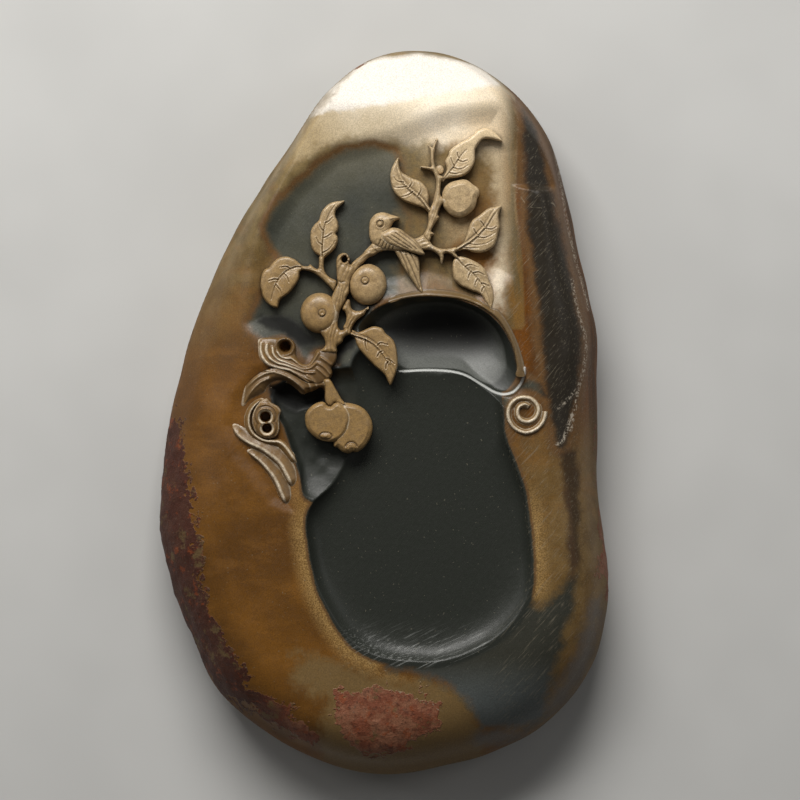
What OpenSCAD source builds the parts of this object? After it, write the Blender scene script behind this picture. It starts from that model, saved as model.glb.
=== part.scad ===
// Ink stone of natural outline, with a persimmon branch and a bird in relief.
// The stone lies on its flat back. Z points out of the carved face, Y towards
// the pool end, X to the right. All lengths are in millimetres.

/* [Stone] */

// Width of the whole stone
stone_w = 148; // [130:1:170]

// Length of the whole stone
stone_l = 240; // [210:1:275]

// Height of the face in the middle of the stone
face_h = 38; // [34:1:44]

// Height of the widest line of the edge
belly_h = 14; // [10:1:18]

// Fall of the domed face from its middle to its rim
face_fall = 4; // [2:0.5:6]

// Inset of the flat back from the widest line
foot_inset = 9; // [5:1:13]

/* [Hall and pool] */

// Depth of the grinding hall below the face
hall_depth = 6; // [4:0.5:8]

// Depth of the pool below the grinding hall
pool_depth = 8; // [5:0.5:9]

// Height of the crest between hall and pool
lip_rise = 0.6; // [0.3:0.1:1]

// Depth of the hollow under the root
void_depth = 5.4; // [4:0.2:6]

/* [Relief] */

// Depth of the ground cut away around the carving
ground_depth = 3; // [1:0.5:4]

// Depth of the ground cut away around the root
root_depth = 1.1; // [0.5:0.1:2]

// Height of the leaves above the skin of the stone
leaf_rise = 0.4; // [0:0.1:1]

// Height of branch and twigs above the skin
branch_rise = 1.2; // [0.5:0.1:2]

// Height of the fruits above the skin
fruit_rise = 2; // [1:0.1:3]

// Height of the bird above the skin
bird_rise = 2; // [1:0.1:3]

// Height of the root above the skin
root_rise = 1; // [0.5:0.1:2]

/* [Part shown] */

// Name of one piece, or all

/* [Hidden] */

// Names of the pieces

// Width and length at which the tables and paths below are drawn
drawn_w = 148;
drawn_l = 240;

// Foot of the carved pieces, hidden in the block, and head of every cutter
low = 18;
high = face_h + 9;

// Width over which the ground falls to its full depth, by the branch and by the root
ground_slope = 9;
root_slope = 3;

// Flat cut across the pool end: where it starts, its slope, and its fall at one place
facet_from = 60;
facet_slope = 0.42;
facet_at = 100;
facet_fall = 2.8;

// Roundness of the shoulder where it leaves the face and where it meets the edge
shoulder_in = 2.2;
shoulder_out = 0.6;

// Size that all corners are moved to, so that faces that meet share them
point_step = 0.01;

hall_z = face_h - hall_depth;
pool_z = hall_z - pool_depth;
void_z = face_h - void_depth;
shoulder_fall = face_h - face_fall - belly_h;

skin_color = [0.6, 0.45, 0.28];
relief_color = [0.74, 0.62, 0.45];

// Widest line of the stone: distance from the middle, every 10 degrees
outline = [70.5, 71.5, 75, 78.5, 83.5, 93.5, 106.5, 116, 120, 118.5, 108, 93,
           83.5, 77, 72.5, 69.5, 68.5, 68.5, 70.5, 73.5, 78.5, 85, 91, 98,
           107.5, 112.5, 117, 119.5, 118.5, 117.5, 115, 108, 96.5, 84, 75.5, 71.5];

// Width of the rounded shoulder inside that line, every 20 degrees
shoulder = [19, 17, 16, 12, 6, 6, 9, 18, 26, 28, 28, 26, 22, 20, 24, 26, 24, 20];

// Edge of the ground that is cut away around the carving
ground_edge = [[-43, 30], [-42, 46], [-38, 60], [-30, 73], [-16, 85], [4, 90],
               [22, 97], [37, 98], [42, 86], [42, 64], [40, 46], [30, 38],
               [14, 43], [-2, 40], [-8, 30], [-14, 14], [-26, 16], [-36, 25]];

// Edge of the shallower ground around the root
root_ground = [[-48.6, 4.3], [-41.4, 13.5], [-30.9, 17.4], [-17.7, 13.5], [-15.1, 4.3],
               [-27.6, 4.3], [-32.5, -2.3], [-27.6, -18.7], [-30.2, -31.2], [-36.8, -28.6],
               [-42.4, -20.4], [-48, -13.8], [-50.6, -3.9]];

hall_mid = [12, -45];
hall_rim = [[-18.5, -22], [-23.5, -28.5], [-26, -35], [-25, -45.5], [-22.5, -57],
            [-17, -68.5], [-11, -76.5], [-5.5, -80], [0.5, -82], [8.5, -83],
            [18.5, -83], [28.5, -80], [37, -75.5], [44.5, -68.5], [48.5, -61],
            [49.5, -50.5], [48.5, -37.5], [47, -26], [44.5, -18.5], [42.5, -13],
            [40, -6], [39.5, 2], [37, 15], [29, 22], [15, 25], [4, 25], [-4, 23],
            [-9.5, 20], [-12, 12], [-12, 4], [-13, -6], [-15.5, -15]];

pool_mid = [22, 25];
pool_rim = [[-6, 23], [-1, 18], [5.5, 14], [11, 14], [17.5, 14], [24, 13.5], [28, 12],
            [31.5, 9.5], [35, 7.5], [39, 6.5], [42, 9], [44, 13], [43.5, 17],
            [42, 22.5], [39, 28], [34, 33], [28.5, 36], [22, 38], [16, 38.5], [8.5, 38],
            [2, 36.5], [-4.5, 33.5], [-9.5, 28]];

void_mid = [-23, 0];
void_rim = [[-36, 0], [-33, -5], [-31, -11], [-28, -20], [-26, -28], [-19, -30],
            [-9, -26], [1, -16], [4, 0], [-2, 12], [-13, 16], [-20, 14], [-30, 13],
            [-37, 7]];

// Crest of the lip between hall and pool
lip_line = [[5.5, 14], [11, 14], [17.5, 14], [24, 13.5], [28, 12], [31.5, 9.5],
            [35, 7.5], [39, 6.5], [42, 9], [44, 13]];

// Distance of the scroll's crest from its middle, by angle
coil = [[60, 1.7], [90, 2], [180, 2.45], [270, 3.45], [360, 4.3], [450, 4.45], [540, 5.6],
        [630, 7.1], [720, 6.6], [760, 6.3]];

// Value at an angle from a list that goes once round, joined by a smooth curve
function around(list, angle) =
    let (n = len(list), u = angle * n / 360, i = floor(u), f = u - i)
    curve([for (k = [-1:2]) list[(i + k + n) % n]], f);

// Smooth curve through four values, between the middle two
function curve(v, f) =
    v[1] + 0.5 * f * (v[2] - v[0] + f * (2 * v[0] - 5 * v[1] + 4 * v[2] - v[3]
    + f * (3 * (v[1] - v[2]) + v[3] - v[0])));

// Closed outline with each side cut into steps along a smooth curve
function smooth(list, steps) =
    let (n = len(list))
    [for (i = [0:n - 1], s = [0:steps - 1])
        curve([for (k = [-1:2]) list[(i + k + n) % n]], s / steps)];

// Place on the stone of a point of the drawing, and the way back. Radii and
// leaf widths are not stretched with it.
function place(p) = [p[0] * stone_w / drawn_w, p[1] * stone_l / drawn_l];

function drawn(p) = [p[0] * drawn_w / stone_w, p[1] * drawn_l / stone_l];

function turn(p) = (atan2(p[1], p[0]) + 360) % 360;

function ease(t) = let (c = max(0, min(1, t))) c * c * (3 - 2 * c);

// Distance from a point to a side, and the signed distance into an outline
function side_gap(p, a, b) =
    norm(p - a - (b - a) * max(0, min(1, (p - a) * (b - a) / ((b - a) * (b - a)))));

function crosses(p, a, b) =
    (a[1] > p[1]) != (b[1] > p[1])
    && p[0] < (b[0] - a[0]) * (p[1] - a[1]) / (b[1] - a[1]) + a[0];

function depth_in(p, list) =
    let (n = len(list),
         gap = min([for (i = [0:n - 1]) side_gap(p, list[i], list[(i + 1) % n])]),
         hits = len([for (i = [0:n - 1]) if (crosses(p, list[i], list[(i + 1) % n])) i]))
    hits % 2 == 1 ? gap : -gap;

// Height of the natural skin of the stone, before anything is cut
function skin(p) =
    let (q = drawn(p), r = norm(q),
         rim = around(outline, turn(q)), w = around(shoulder, turn(q)),
         s = max(0, min(1, (r - rim + w) / w)),
         round_h = face_h - face_fall * pow(r / rim, 2)
             - shoulder_fall * (1 - pow(1 - pow(s, shoulder_in), shoulder_out)),
         facet_h = face_h - facet_fall - facet_slope * (q[1] - facet_at))
    q[1] > facet_from && facet_h < round_h ? facet_h : round_h;

// Height of the face with the ground around the carving cut away
function face(p) =
    skin(p) - ground_depth * ease(0.5 + depth_in(drawn(p), ground_edge) / ground_slope)
        - root_depth * ease(0.5 + depth_in(drawn(p), root_ground) / root_slope);

// Points moved to whole steps, so that faces that meet share the same corners
function stepped(points) = [for (p = points) [for (v = p) point_step * round(v / point_step)]];

// Closed solid through rings of points, listed from the top down. Each end is
// closed flat, or to a point where one is given.
module loft(rings, top_point = [], low_point = []) {
    n = len(rings[0]);
    last = (len(rings) - 1) * n;
    count = len(rings) * n;
    flat_top = len(top_point) == 0;
    flat_low = len(low_point) == 0;
    low_at = count + (flat_top ? 0 : 1);
    sides = [for (k = [0:len(rings) - 2], i = [0:n - 1], h = [0, 1])
        let (a = k * n + i, b = k * n + (i + 1) % n)
        h == 0 ? [a, b, b + n] : [a, b + n, a + n]];
    top_cap = flat_top ? [[for (i = [0:n - 1]) n - 1 - i]]
        : [for (i = [0:n - 1]) [count, (i + 1) % n, i]];
    low_cap = flat_low ? [[for (i = [0:n - 1]) last + i]]
        : [for (i = [0:n - 1]) [low_at, last + i, last + (i + 1) % n]];
    polyhedron(
        points = stepped(concat([for (r = rings) each r],
            flat_top ? [] : [top_point], flat_low ? [] : [low_point])),
        faces = concat(top_cap, sides, low_cap));
}

// Cutter that sinks from an outline to a floor, steep where the power is high.
// edge_h and edge_low_h are the heights of its edge on the +Y and -Y side.
module bowl(list, middle, floor_z, edge_h, edge_low_h, power_up, power_down) {
    mid = place(middle);
    rim = [for (p = smooth(list, 2)) place(p)];
    flare = 1.02;
    steps = [0, 0.03, 0.07, 0.13, 0.22, 0.36, 0.56, 0.8];
    loft(
        concat(
            [[for (p = rim) [each mid + (p - mid) * flare, high]]],
            [for (f = steps) [for (p = rim)
                let (up = (p[1] - mid[1]) / norm(p - mid),
                     down = ease(-1.6 * up),
                     edge = edge_h + (edge_low_h - edge_h) * down,
                     power = power_up + (power_down - power_up) * down)
                [each mid + (p - mid) * (1 - f),
                 floor_z + (edge - floor_z) * pow(1 - f, power)]]]),
        low_point = [mid[0], mid[1], floor_z]);
}

// The natural block: flat back, round side and domed face
module blank() {
    inner = [0.11, 0.2, 0.28, 0.35, 0.41, 0.47, 0.53, 0.59, 0.65, 0.71, 0.77, 0.83,
             0.88, 0.92, 0.95, 0.975, 0.99];
    under = [[0.9, 0.7], [0.66, 0.38], [0.32, 0.12], [0, 0]];
    edge = [for (a = [0:5:355]) place(around(outline, a) * [cos(a), sin(a)])];
    loft(
        concat(
            [for (f = inner) [for (p = edge) [each p * f, face(p * f)]]],
            [[for (p = edge) [each p, belly_h]]],
            [for (u = under) [for (p = edge)
                [each p * (1 - foot_inset * (1 - u[0]) / norm(p)), belly_h * u[1]]]]),
        top_point = [0, 0, face([0, 0])]);
}

// Round post from inside the block up to a height above the skin; p is [x, y, radius]
module post(p, rise) {
    at = place(p);
    top = skin(at) + rise;
    translate([each at, low]) {
        cylinder(r = p[2], h = top - low - 0.5 * p[2], $fn = 8);
        cylinder(r = 0.6 * p[2], h = top - low, $fn = 8);
    }
}

// Carved strand along a path of [x, y, radius]
module strand(path, rise)
    for (i = [0:len(path) - 2])
        hull() {
            post(path[i], rise);
            post(path[i + 1], rise);
        }

// Convex cell around a list of points
module cell(list)
    hull() polyhedron(points = stepped(list), faces = [[for (i = [0:len(list) - 1]) i]]);

// Leaf, wing or feather: two curved halves that meet along a bent midrib.
// left and right are the half widths at even steps from its base to its tip.
module leaf(base, bend, tip, left, right, rise) {
    n = len(left) + 1;
    a = place(base);
    b = place(bend);
    c = place(tip);
    function rib(t) = (1 - t) * (1 - t) * a + 2 * t * (1 - t) * b + t * t * c;
    function side(t) = let (d = 2 * (1 - t) * (b - a) + 2 * t * (c - b))
        [-d[1], d[0]] / norm(d);
    function across(i, sign, w) =
        let (t = i / n, p = rib(t), h = skin(p) + rise,
             q = p + sign * w * side(t), m = (p + q) / 2)
        [[each p, low], [each q, low], [each p, h + 0.3], [each m, h + 0.6], [each q, h - 0.3]];
    for (i = [0:n - 1], sign = [1, -1]) {
        widths = concat([0.4], sign == 1 ? left : right, [0.3]);
        cell(concat(across(i, sign, widths[i]), across(i + 1, sign, widths[i + 1])));
    }
}

// Upright cutter through the carving; p is [x, y, radius]
module bore(p, sides)
    translate([each place(p), low]) cylinder(r = p[2], h = high - low, $fn = sides);

// Round fruit with a small navel; p is [x, y, radius] and navel its offset
module fruit(p, navel) {
    at = place(p);
    top = skin(at) + fruit_rise;
    difference() {
        hull()
            translate([each at, low]) {
                cylinder(r = p[2], h = top - low - 2.6, $fn = 24);
                cylinder(r = 0.93 * p[2], h = top - low - 1.3, $fn = 24);
                cylinder(r = 0.72 * p[2], h = top - low - 0.4, $fn = 24);
                cylinder(r = 0.4 * p[2], h = top - low, $fn = 24);
            }
        translate([each at + navel, top - 0.9])
            cylinder(r1 = 0.4, r2 = 1.2, h = 2, $fn = 10);
    }
}

// Block with hall, pool and root hollow cut into it, and the lip between them
module slab() {
    difference() {
        blank();
        bowl(hall_rim, hall_mid, hall_z, face_h + 1, face_h + 1, 15, 9);
        bowl(pool_rim, pool_mid, pool_z, face_h + 1, hall_z, 5, 1.9);
        bowl(void_rim, void_mid, void_z, face_h + 1, face_h + 1, 6, 6);
    }
    for (i = [0:len(lip_line) - 2])
        hull() {
            lip_post(lip_line[i]);
            lip_post(lip_line[i + 1]);
        }
}

module lip_post(p)
    translate([each place(p), low]) {
        cylinder(r = 1, h = hall_z - low + 0.1, $fn = 8);
        cylinder(r = 0.5, h = hall_z - low + lip_rise, $fn = 8);
    }

// Carving without the block under it
module scroll_form() {
    mid = [46.2, 0.7];
    hull() {
        post([each mid, 6.3], -0.2);
        post([each mid, 5.1], 0.1);
    }
    strand([for (a = [60:35:760]) let (r = lookup(a, coil))
        [mid[0] + r * cos(a), mid[1] + r * sin(a), 0.45 + 0.05 * r]], 0.9);
}

module trunk_form() {
    strand([[-17, 15, 3.4], [-17.5, 22.5, 2.9], [-17.3, 27, 2.6], [-15.4, 31, 2.5],
            [-14.2, 38, 2.5], [-12.6, 45, 2.3], [-9, 50.3, 1.9], [-5.5, 53, 1.7],
            [-2, 53.8, 1.6], [4.5, 54, 1.5], [12, 55, 1.6], [14, 56, 1.5]], branch_rise);
}

module upper_form()
    strand([[14, 56.5, 1.3], [15, 60, 1.2], [16.5, 63, 1.1], [17.2, 67, 1], [18.5, 71, 0.9],
            [18.6, 75.5, 0.8], [16.6, 79.5, 0.7], [16, 84, 0.6], [17.4, 89, 0.4]],
        branch_rise - 0.2);

module right_form() {
    strand([[15, 55, 1.3], [17, 53.3, 1.1], [19.5, 52.5, 1], [24.5, 54, 0.7]],
        branch_rise - 0.2);
    strand([[21.5, 53, 0.7], [24, 51, 0.6]], branch_rise - 0.3);
    strand([[18, 52.5, 0.8], [19, 50, 0.5]], branch_rise - 0.3);
}

module left_form() {
    strand([[-14.5, 39.5, 1.1], [-18.5, 45, 0.9], [-21.5, 47.3, 0.9], [-25, 48.2, 0.7]],
        branch_rise - 0.2);
    strand([[-18.8, 45, 0.9], [-19.6, 51, 0.6]], branch_rise - 0.3);
}

module root_upper_form() {
    strand([[-40, 16.5, 1.8], [-36.5, 19, 2.6], [-32, 21.5, 3.6], [-30, 17.5, 3.4],
            [-25.5, 14.2, 3], [-21, 15, 3.2], [-18, 17, 3.2]], root_rise);
}

module root_arch_form()
    strand([[-46.5, 5, 1.3], [-43.5, 9.5, 1.7], [-39, 12.5, 1.8], [-33.5, 13.8, 1.9],
            [-29.5, 12.2, 2.1], [-26, 9, 2.2], [-22, 9.5, 2], [-19.5, 11.5, 1.9]],
        root_rise - 0.2);

module root_lower_form() {
    strand([for (a = [0:45:360]) [-38 + 3.6 * cos(a), -2.6 + 4.6 * sin(a), 1.7]], root_rise - 0.2);
    hull() {
        post([-38, -0.5, 3], -0.6);
        post([-38, -4.8, 3], -0.6);
    }
}

module stem_form() {
    strand([[-18.4, 10.4, 1.2], [-17.7, 7.6, 1.6], [-16.7, 4.9, 2]], fruit_rise - 0.6);
    hull() {
        post([-16.7, 4.9, 2], fruit_rise - 0.6);
        post([-17.8, 3.4, 1], fruit_rise - 0.6);
        post([-13.4, 3.4, 0.8], fruit_rise - 0.8);
    }
}

module wing_form()
    leaf([0.5, 57.3], [6.5, 57.3], [13.4, 52.2], [1.5, 2, 2.2, 2, 1.2],
        [1.6, 2.2, 2.2, 1.6, 1], bird_rise + 0.6);

// Ring cut round the bird's eye
module eye_groove(p) {
    at = place(p);
    translate([each at, skin(at) + bird_rise - 0.5])
        difference() {
            cylinder(r = 1.3, h = 4, $fn = 12);
            cylinder(r = 0.8, h = 9, center = true, $fn = 12);
        }
}

module fork_form() {
    strand([[-11, 36.5, 1.2], [-9, 34, 1.4], [-8, 31.5, 1.4], [-5.8, 32.4, 0.8]],
        branch_rise - 0.3);
    strand([[-12.5, 33.5, 1], [-13.5, 28.5, 1.2], [-9.5, 28, 1.2], [-8, 31.5, 1.2]],
        branch_rise - 0.5);
}

// Carved pieces, each cut to the block and to its neighbours
module stone_slab() color(skin_color) slab();

module pool_rim_bead()
    color(relief_color)
        difference() {
            strand([[2, 37.2, 0.6], [5.9, 38.3, 0.7], [10.3, 39.2, 0.8], [15.1, 39.6, 0.9],
                    [19.9, 39.4, 0.9], [24, 38.7, 1], [28, 37.5, 1], [32.2, 35.5, 1],
                    [36, 33, 1.3], [38.2, 30.9, 1.2], [40.7, 27.3, 1], [42.7, 23.5, 0.9],
                    [44.1, 19.2, 0.9], [45, 15.2, 0.9], [45.3, 12.4, 1.1]], 0.6);
            scroll_form();
            slab();
        }

module cloud_scroll()
    color(relief_color)
        difference() {
            scroll_form();
            slab();
        }

module root_upper()
    color(relief_color)
        difference() {
            root_upper_form();
            bore([-32, 21.5, 2], 16);
            trunk_form();
            slab();
        }

module root_arch()
    color(relief_color)
        difference() {
            root_arch_form();
            root_upper_form();
            trunk_form();
            slab();
        }

module root_lower()
    color(relief_color)
        difference() {
            root_lower_form();
            bore([-38.3, -0.6, 1.9], 16);
            bore([-38, -4.9, 1.9], 16);
            root_arch_form();
            slab();
        }

module root_ribbons()
    color(relief_color)
        difference() {
            union() {
                strand([[-43, 8, 0.8], [-45.5, 3, 1.1], [-45.6, -3, 1.2], [-43, -8, 1.2],
                        [-38.5, -10.3, 1.2], [-34.5, -10, 1.2], [-31, -13, 1.3],
                        [-27.5, -18, 0.9]], root_rise - 0.2);
                strand([[-48.5, -4.5, 0.8], [-45.5, -10, 1.2], [-40.5, -13.2, 1.4],
                        [-36.5, -16, 1.6], [-33.5, -20.5, 1.6], [-31, -25, 0.9]],
                    root_rise - 0.4);
                strand([[-43.5, -15, 0.7], [-39, -17.5, 1.2], [-35.8, -22, 1.5],
                        [-33.8, -28, 0.9]], root_rise - 0.6);
            }
            root_lower_form();
            root_arch_form();
            slab();
        }

module main_branch()
    color(relief_color)
        difference() {
            trunk_form();
            slab();
        }

module branch_stub()
    color(relief_color)
        difference() {
            strand([[-12.9, 44, 1.9], [-13, 50.3, 2]], branch_rise - 0.1);
            bore([-13, 50.5, 1], 12);
            trunk_form();
            slab();
        }

module hollow_fork()
    color(relief_color)
        difference() {
            fork_form();
            trunk_form();
            slab();
        }

module left_twig()
    color(relief_color)
        difference() {
            left_form();
            trunk_form();
            slab();
        }

module upper_twig()
    color(relief_color)
        difference() {
            union() {
                upper_form();
                strand([[17, 80, 0.6], [13, 80.6, 0.35]], branch_rise - 0.4);
                strand([[16, 84, 0.5], [14.8, 88, 0.35]], branch_rise - 0.4);
            }
            trunk_form();
            slab();
        }

module right_twig()
    color(relief_color)
        difference() {
            right_form();
            upper_form();
            trunk_form();
            slab();
        }

module fruit_stem()
    color(relief_color)
        difference() {
            stem_form();
            root_arch_form();
            root_upper_form();
            trunk_form();
            slab();
        }

module leaf_top_right()
    color(relief_color)
        difference() {
            leaf([19, 77.5], [29.5, 90], [38, 89.5], [2.2, 3.4, 3, 3, 1.8],
                [3.6, 4.4, 2.6, 0.9, 0.6], leaf_rise);
            upper_form();
            slab();
        }

module leaf_top_left()
    color(relief_color)
        difference() {
            leaf([15, 65], [5.5, 69], [4.7, 83], [1.6, 3, 3.4, 3, 1.4],
                [3.2, 4.6, 5, 3.6, 1.2], leaf_rise);
            upper_form();
            slab();
        }

module leaf_right_upper()
    color(relief_color)
        difference() {
            leaf([24.9, 54.2], [34.5, 55.5], [38, 67.5], [1.6, 3.4, 4.6, 4, 2],
                [1.4, 3, 3.4, 2.8, 1], leaf_rise);
            right_form();
            slab();
        }

module leaf_right_lower()
    color(relief_color)
        difference() {
            leaf([23.7, 51], [29.5, 46], [35.6, 34], [3.2, 4.6, 4, 3, 1.6],
                [3.8, 4.6, 4, 2.8, 1.4], leaf_rise);
            right_form();
            slab();
        }

module leaf_left_upper()
    color(relief_color)
        difference() {
            leaf([-19.6, 50.7], [-20.5, 61], [-13, 69], [3.2, 4.4, 4, 3, 1.6],
                [3, 4.4, 3.8, 2.4, 1], leaf_rise);
            left_form();
            slab();
        }

module leaf_left_lower()
    color(relief_color)
        difference() {
            leaf([-24.7, 48], [-38, 48], [-35, 34.5], [3.6, 5, 5, 4.4, 2.6],
                [2.6, 4.6, 4.8, 3.6, 2.2], leaf_rise);
            left_form();
            slab();
        }

module leaf_over_pool()
    color(relief_color)
        difference() {
            leaf([-10, 26.5], [0, 23], [2.5, 9], [3, 4.6, 4.8, 4.2, 2.6],
                [2.6, 4, 4.4, 3.2, 1.8], leaf_rise);
            fork_form();
            trunk_form();
            slab();
        }

module fruit_top()
    color(relief_color)
        difference() {
            fruit([25.4, 70.1, 5.9], [-4.3, 0.2]);
            upper_form();
            slab();
        }

module fruit_middle()
    color(relief_color)
        difference() {
            fruit([-5.2, 42, 6.3], [-0.9, 1.2]);
            trunk_form();
            slab();
        }

module fruit_left()
    color(relief_color)
        difference() {
            fruit([-20.9, 32.7, 6.3], [0.8, 0]);
            trunk_form();
            slab();
        }

module pair_front_form() fruit([-18, -3, 7.2], [0, -4.6]);

module fruit_pair_front()
    color(relief_color)
        difference() {
            pair_front_form();
            stem_form();
            slab();
        }

module fruit_pair_back()
    color(relief_color)
        difference() {
            fruit([-10.2, -5.6, 7], [0.4, -4.8]);
            bore([-18, -3, 7.2], 24);
            stem_form();
            slab();
        }

module bud()
    color(relief_color)
        difference() {
            hull() {
                post([19.4, 80, 1.3], 0.2);
                post([19.9, 80.2, 1.2], 0.2);
            }
            upper_form();
            slab();
        }

module bird_body()
    color(relief_color)
        difference() {
            union() {
                strand([[-1.2, 61.6, 3.4], [-1.4, 58.6, 3.2], [0.8, 56.6, 3], [4.5, 55.4, 2]],
                    bird_rise);
                strand([[1.2, 62.6, 1.8], [5.1, 64, 0.3]], bird_rise - 0.8);
            }
            eye_groove([-1.2, 61.7]);
            wing_form();
            trunk_form();
            slab();
        }

module bird_wing()
    color(relief_color)
        difference() {
            wing_form();
            trunk_form();
            upper_form();
            slab();
        }

module bird_tail()
    color(relief_color)
        difference() {
            leaf([7, 53.8], [11, 48], [12.4, 40], [2.8, 2.6, 2, 1.5, 1],
                [2.4, 2.4, 2, 1.5, 1], bird_rise - 0.8);
            wing_form();
            trunk_form();
            slab();
        }

stone_slab();
pool_rim_bead();
cloud_scroll();
root_upper();
root_arch();
root_lower();
root_ribbons();
main_branch();
branch_stub();
hollow_fork();
left_twig();
upper_twig();
right_twig();
fruit_stem();
leaf_top_right();
leaf_top_left();
leaf_right_upper();
leaf_right_lower();
leaf_left_upper();
leaf_left_lower();
leaf_over_pool();
fruit_top();
fruit_middle();
fruit_left();
fruit_pair_front();
fruit_pair_back();
bud();
bird_body();
bird_wing();
bird_tail();
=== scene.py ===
"""Looks of the carved ink stone.

Sizes are millimetres in the frame of the CAD part, and places in the shaders are metres.
"""

import math

import bpy
import numpy as np
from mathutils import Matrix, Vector
from mathutils.geometry import delaunay_2d_cdt


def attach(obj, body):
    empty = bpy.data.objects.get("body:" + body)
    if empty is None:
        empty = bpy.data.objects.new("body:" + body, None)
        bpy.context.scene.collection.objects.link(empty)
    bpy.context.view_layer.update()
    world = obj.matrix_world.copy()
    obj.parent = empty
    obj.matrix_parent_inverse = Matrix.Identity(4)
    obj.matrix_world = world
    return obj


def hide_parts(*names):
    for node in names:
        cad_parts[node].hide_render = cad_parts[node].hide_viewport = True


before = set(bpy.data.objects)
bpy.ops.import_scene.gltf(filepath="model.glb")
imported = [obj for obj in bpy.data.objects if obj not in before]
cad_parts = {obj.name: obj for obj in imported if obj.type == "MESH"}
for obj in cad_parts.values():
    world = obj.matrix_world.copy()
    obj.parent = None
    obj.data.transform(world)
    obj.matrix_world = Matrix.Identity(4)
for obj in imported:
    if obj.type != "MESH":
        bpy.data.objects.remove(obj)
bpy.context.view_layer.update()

MM = 0.001

# The stone: face over the back, fall to the shoulder, widest line, inset of the foot
FACE_H = 38
FACE_FALL = 4
BELLY_H = 14
FOOT_INSET = 9
# Hollows: height of their rims before they meet the face, and of their floors
RIM_Z = FACE_H + 1
HALL_Z = 32
POOL_Z = 24
VOID_Z = 32.6
# The floor of the hall rises a little below this y
DISH_RISE = 0.4
DISH_Y = -66
DISH_RUN = 18
# How steep their walls are at the upper and the lower end, and the rounding of their edges
HALL_POWERS = (15, 9)
POOL_POWERS = (5, 1.9)
VOID_POWERS = (6, 6)
HALL_EDGE = 0.5
POOL_EDGE = 0.25
VOID_EDGE = 0.4
# Ground round the carving: depth and width of its slope
GROUND_DEPTH = 3
GROUND_SLOPE = 9
# Cuts at the root: ground, pocket under the arch, holes of the knots
ROOT_DEPTH = 1.1
ROOT_SLOPE = 5
POCKET_DEPTH = 2.4
HOLE_DEPTH = 2.6
LIP_RISE = 0.7
# Worn flat over the pool end: drop under the face at a y, slope, and the y where it starts
CAP_DROP = 2.8
CAP_Y = 100
CAP_SLOPE = 0.42
CAP_FROM = 60
# Worn flat of the right side there: height at an x, and slope
SIDE_Z = 34.6
SIDE_X = 43.5
SIDE_SLOPE = 0.55

# Fineness of the meshes
SPOKES = 560
RING_SHARES = [1, 0.993, 0.98, *np.arange(0.96, 0.019, -0.04)]
SLAB_LOW = (-74, -120)
SLAB_HIGH = (74, 120)
SLAB_GRID = 2.4
SLAB_LEVELS = 3
SLAB_SLACK = 0.02
LEAF_STEP = 0.13
BIRD_STEP = 0.16
# Edges that turn more than this are sharp, in degrees
SLAB_SHARP = 75
CARVED_SHARP = 60
# Walls under a carved form: depth under the slab's surface, least height, rows on the way down
WALL_DEPTH = 0.7
WALL_LEAST = 0.2
WALL_ROWS = (0.12, 0.5, 1)
# Largest distances stored for patches and for lines
REACH = 12
LINE_REACH = 16
NOISE_CELLS = 256

# Widest line: distance from the middle, every 10 degrees
OUTLINE = [
    70.5, 71.5, 75, 78.5, 83.5, 93.5, 106.5, 116, 120, 118.5, 108, 93, 83.5, 77, 72.5, 69.5, 68.5, 68.5,
    70.5, 73.5, 78.5, 85, 91, 98, 107.5, 112.5, 117, 119.5, 118.5, 117.5, 115, 108, 96.5, 84, 75.5, 71.5
]

# Width of the rounded shoulder, every 20 degrees
SHOULDER = [19, 17, 16, 12, 6, 6, 9, 18, 26, 28, 28, 26, 22, 20, 24, 26, 24, 20]

# Side under the widest line: share of the way out from the foot, and of the height there
UNDER = [(1, 1), (0.9, 0.7), (0.66, 0.38), (0.32, 0.12), (0, 0)]

GROUND_EDGE = [
    (-43, 30), (-42, 46), (-38, 60), (-30, 73), (-16, 85), (4, 90), (22, 97), (37, 98), (42, 86),
    (42, 64), (40, 46), (30, 38), (14, 43), (-2, 40), (-8, 30), (-14, 14), (-26, 16), (-36, 25)
]
HALL_MID = (12, -45)
HALL_RIM = [
    (-18.5, -22), (-23.5, -28.5), (-26, -35), (-25, -45.5), (-22.5, -57), (-17, -68.5), (-11, -76.5),
    (-5.5, -80), (0.5, -82), (8.5, -83), (18.5, -83), (28.5, -80), (37, -75.5), (44.5, -68.5),
    (48.5, -61), (49.5, -50.5), (48.5, -37.5), (47, -26), (44.5, -18.5), (42.5, -13), (40, -6),
    (39.5, 2), (37, 15), (29, 22), (15, 25), (4, 25), (-4, 23), (-9.5, 20), (-12, 12), (-12, 4),
    (-13, -6), (-15.5, -15)
]
POOL_MID = (22, 25)
POOL_RIM = [
    (-6, 23), (-1, 18), (5.5, 14), (11, 14), (17.5, 14), (24, 13.5), (28, 12), (31.5, 9.5), (35, 7.5),
    (39, 6.5), (42, 9), (44, 13), (43.5, 17), (42, 22.5), (39, 28), (34, 33), (28.5, 36), (22, 38),
    (16, 38.5), (8.5, 38), (2, 36.5), (-4.5, 33.5), (-9.5, 28)
]
VOID_MID = (-23, 0)
VOID_RIM = [
    (-36, 0), (-33, -5), (-31, -11), (-28, -20), (-26, -28), (-19, -30), (-9, -26), (1, -16), (4, 0),
    (-2, 12), (-13, 16), (-20, 14), (-30, 13), (-37, 7)
]

# Lip between hall and pool: x, y and half width
LIP = [
    (5.3, 13.6, 0.3), (9.2, 13.9, 0.35), (15.1, 14.1, 0.35), (21.7, 13.7, 0.35), (27, 12.3, 0.4),
    (32.6, 9, 0.55), (36.2, 6.9, 0.7), (39.4, 6.2, 0.85), (42.4, 7, 0.85), (44.6, 9.4, 0.7),
    (45.8, 12.2, 0.5), (46, 14.8, 0.4)
]

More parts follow.
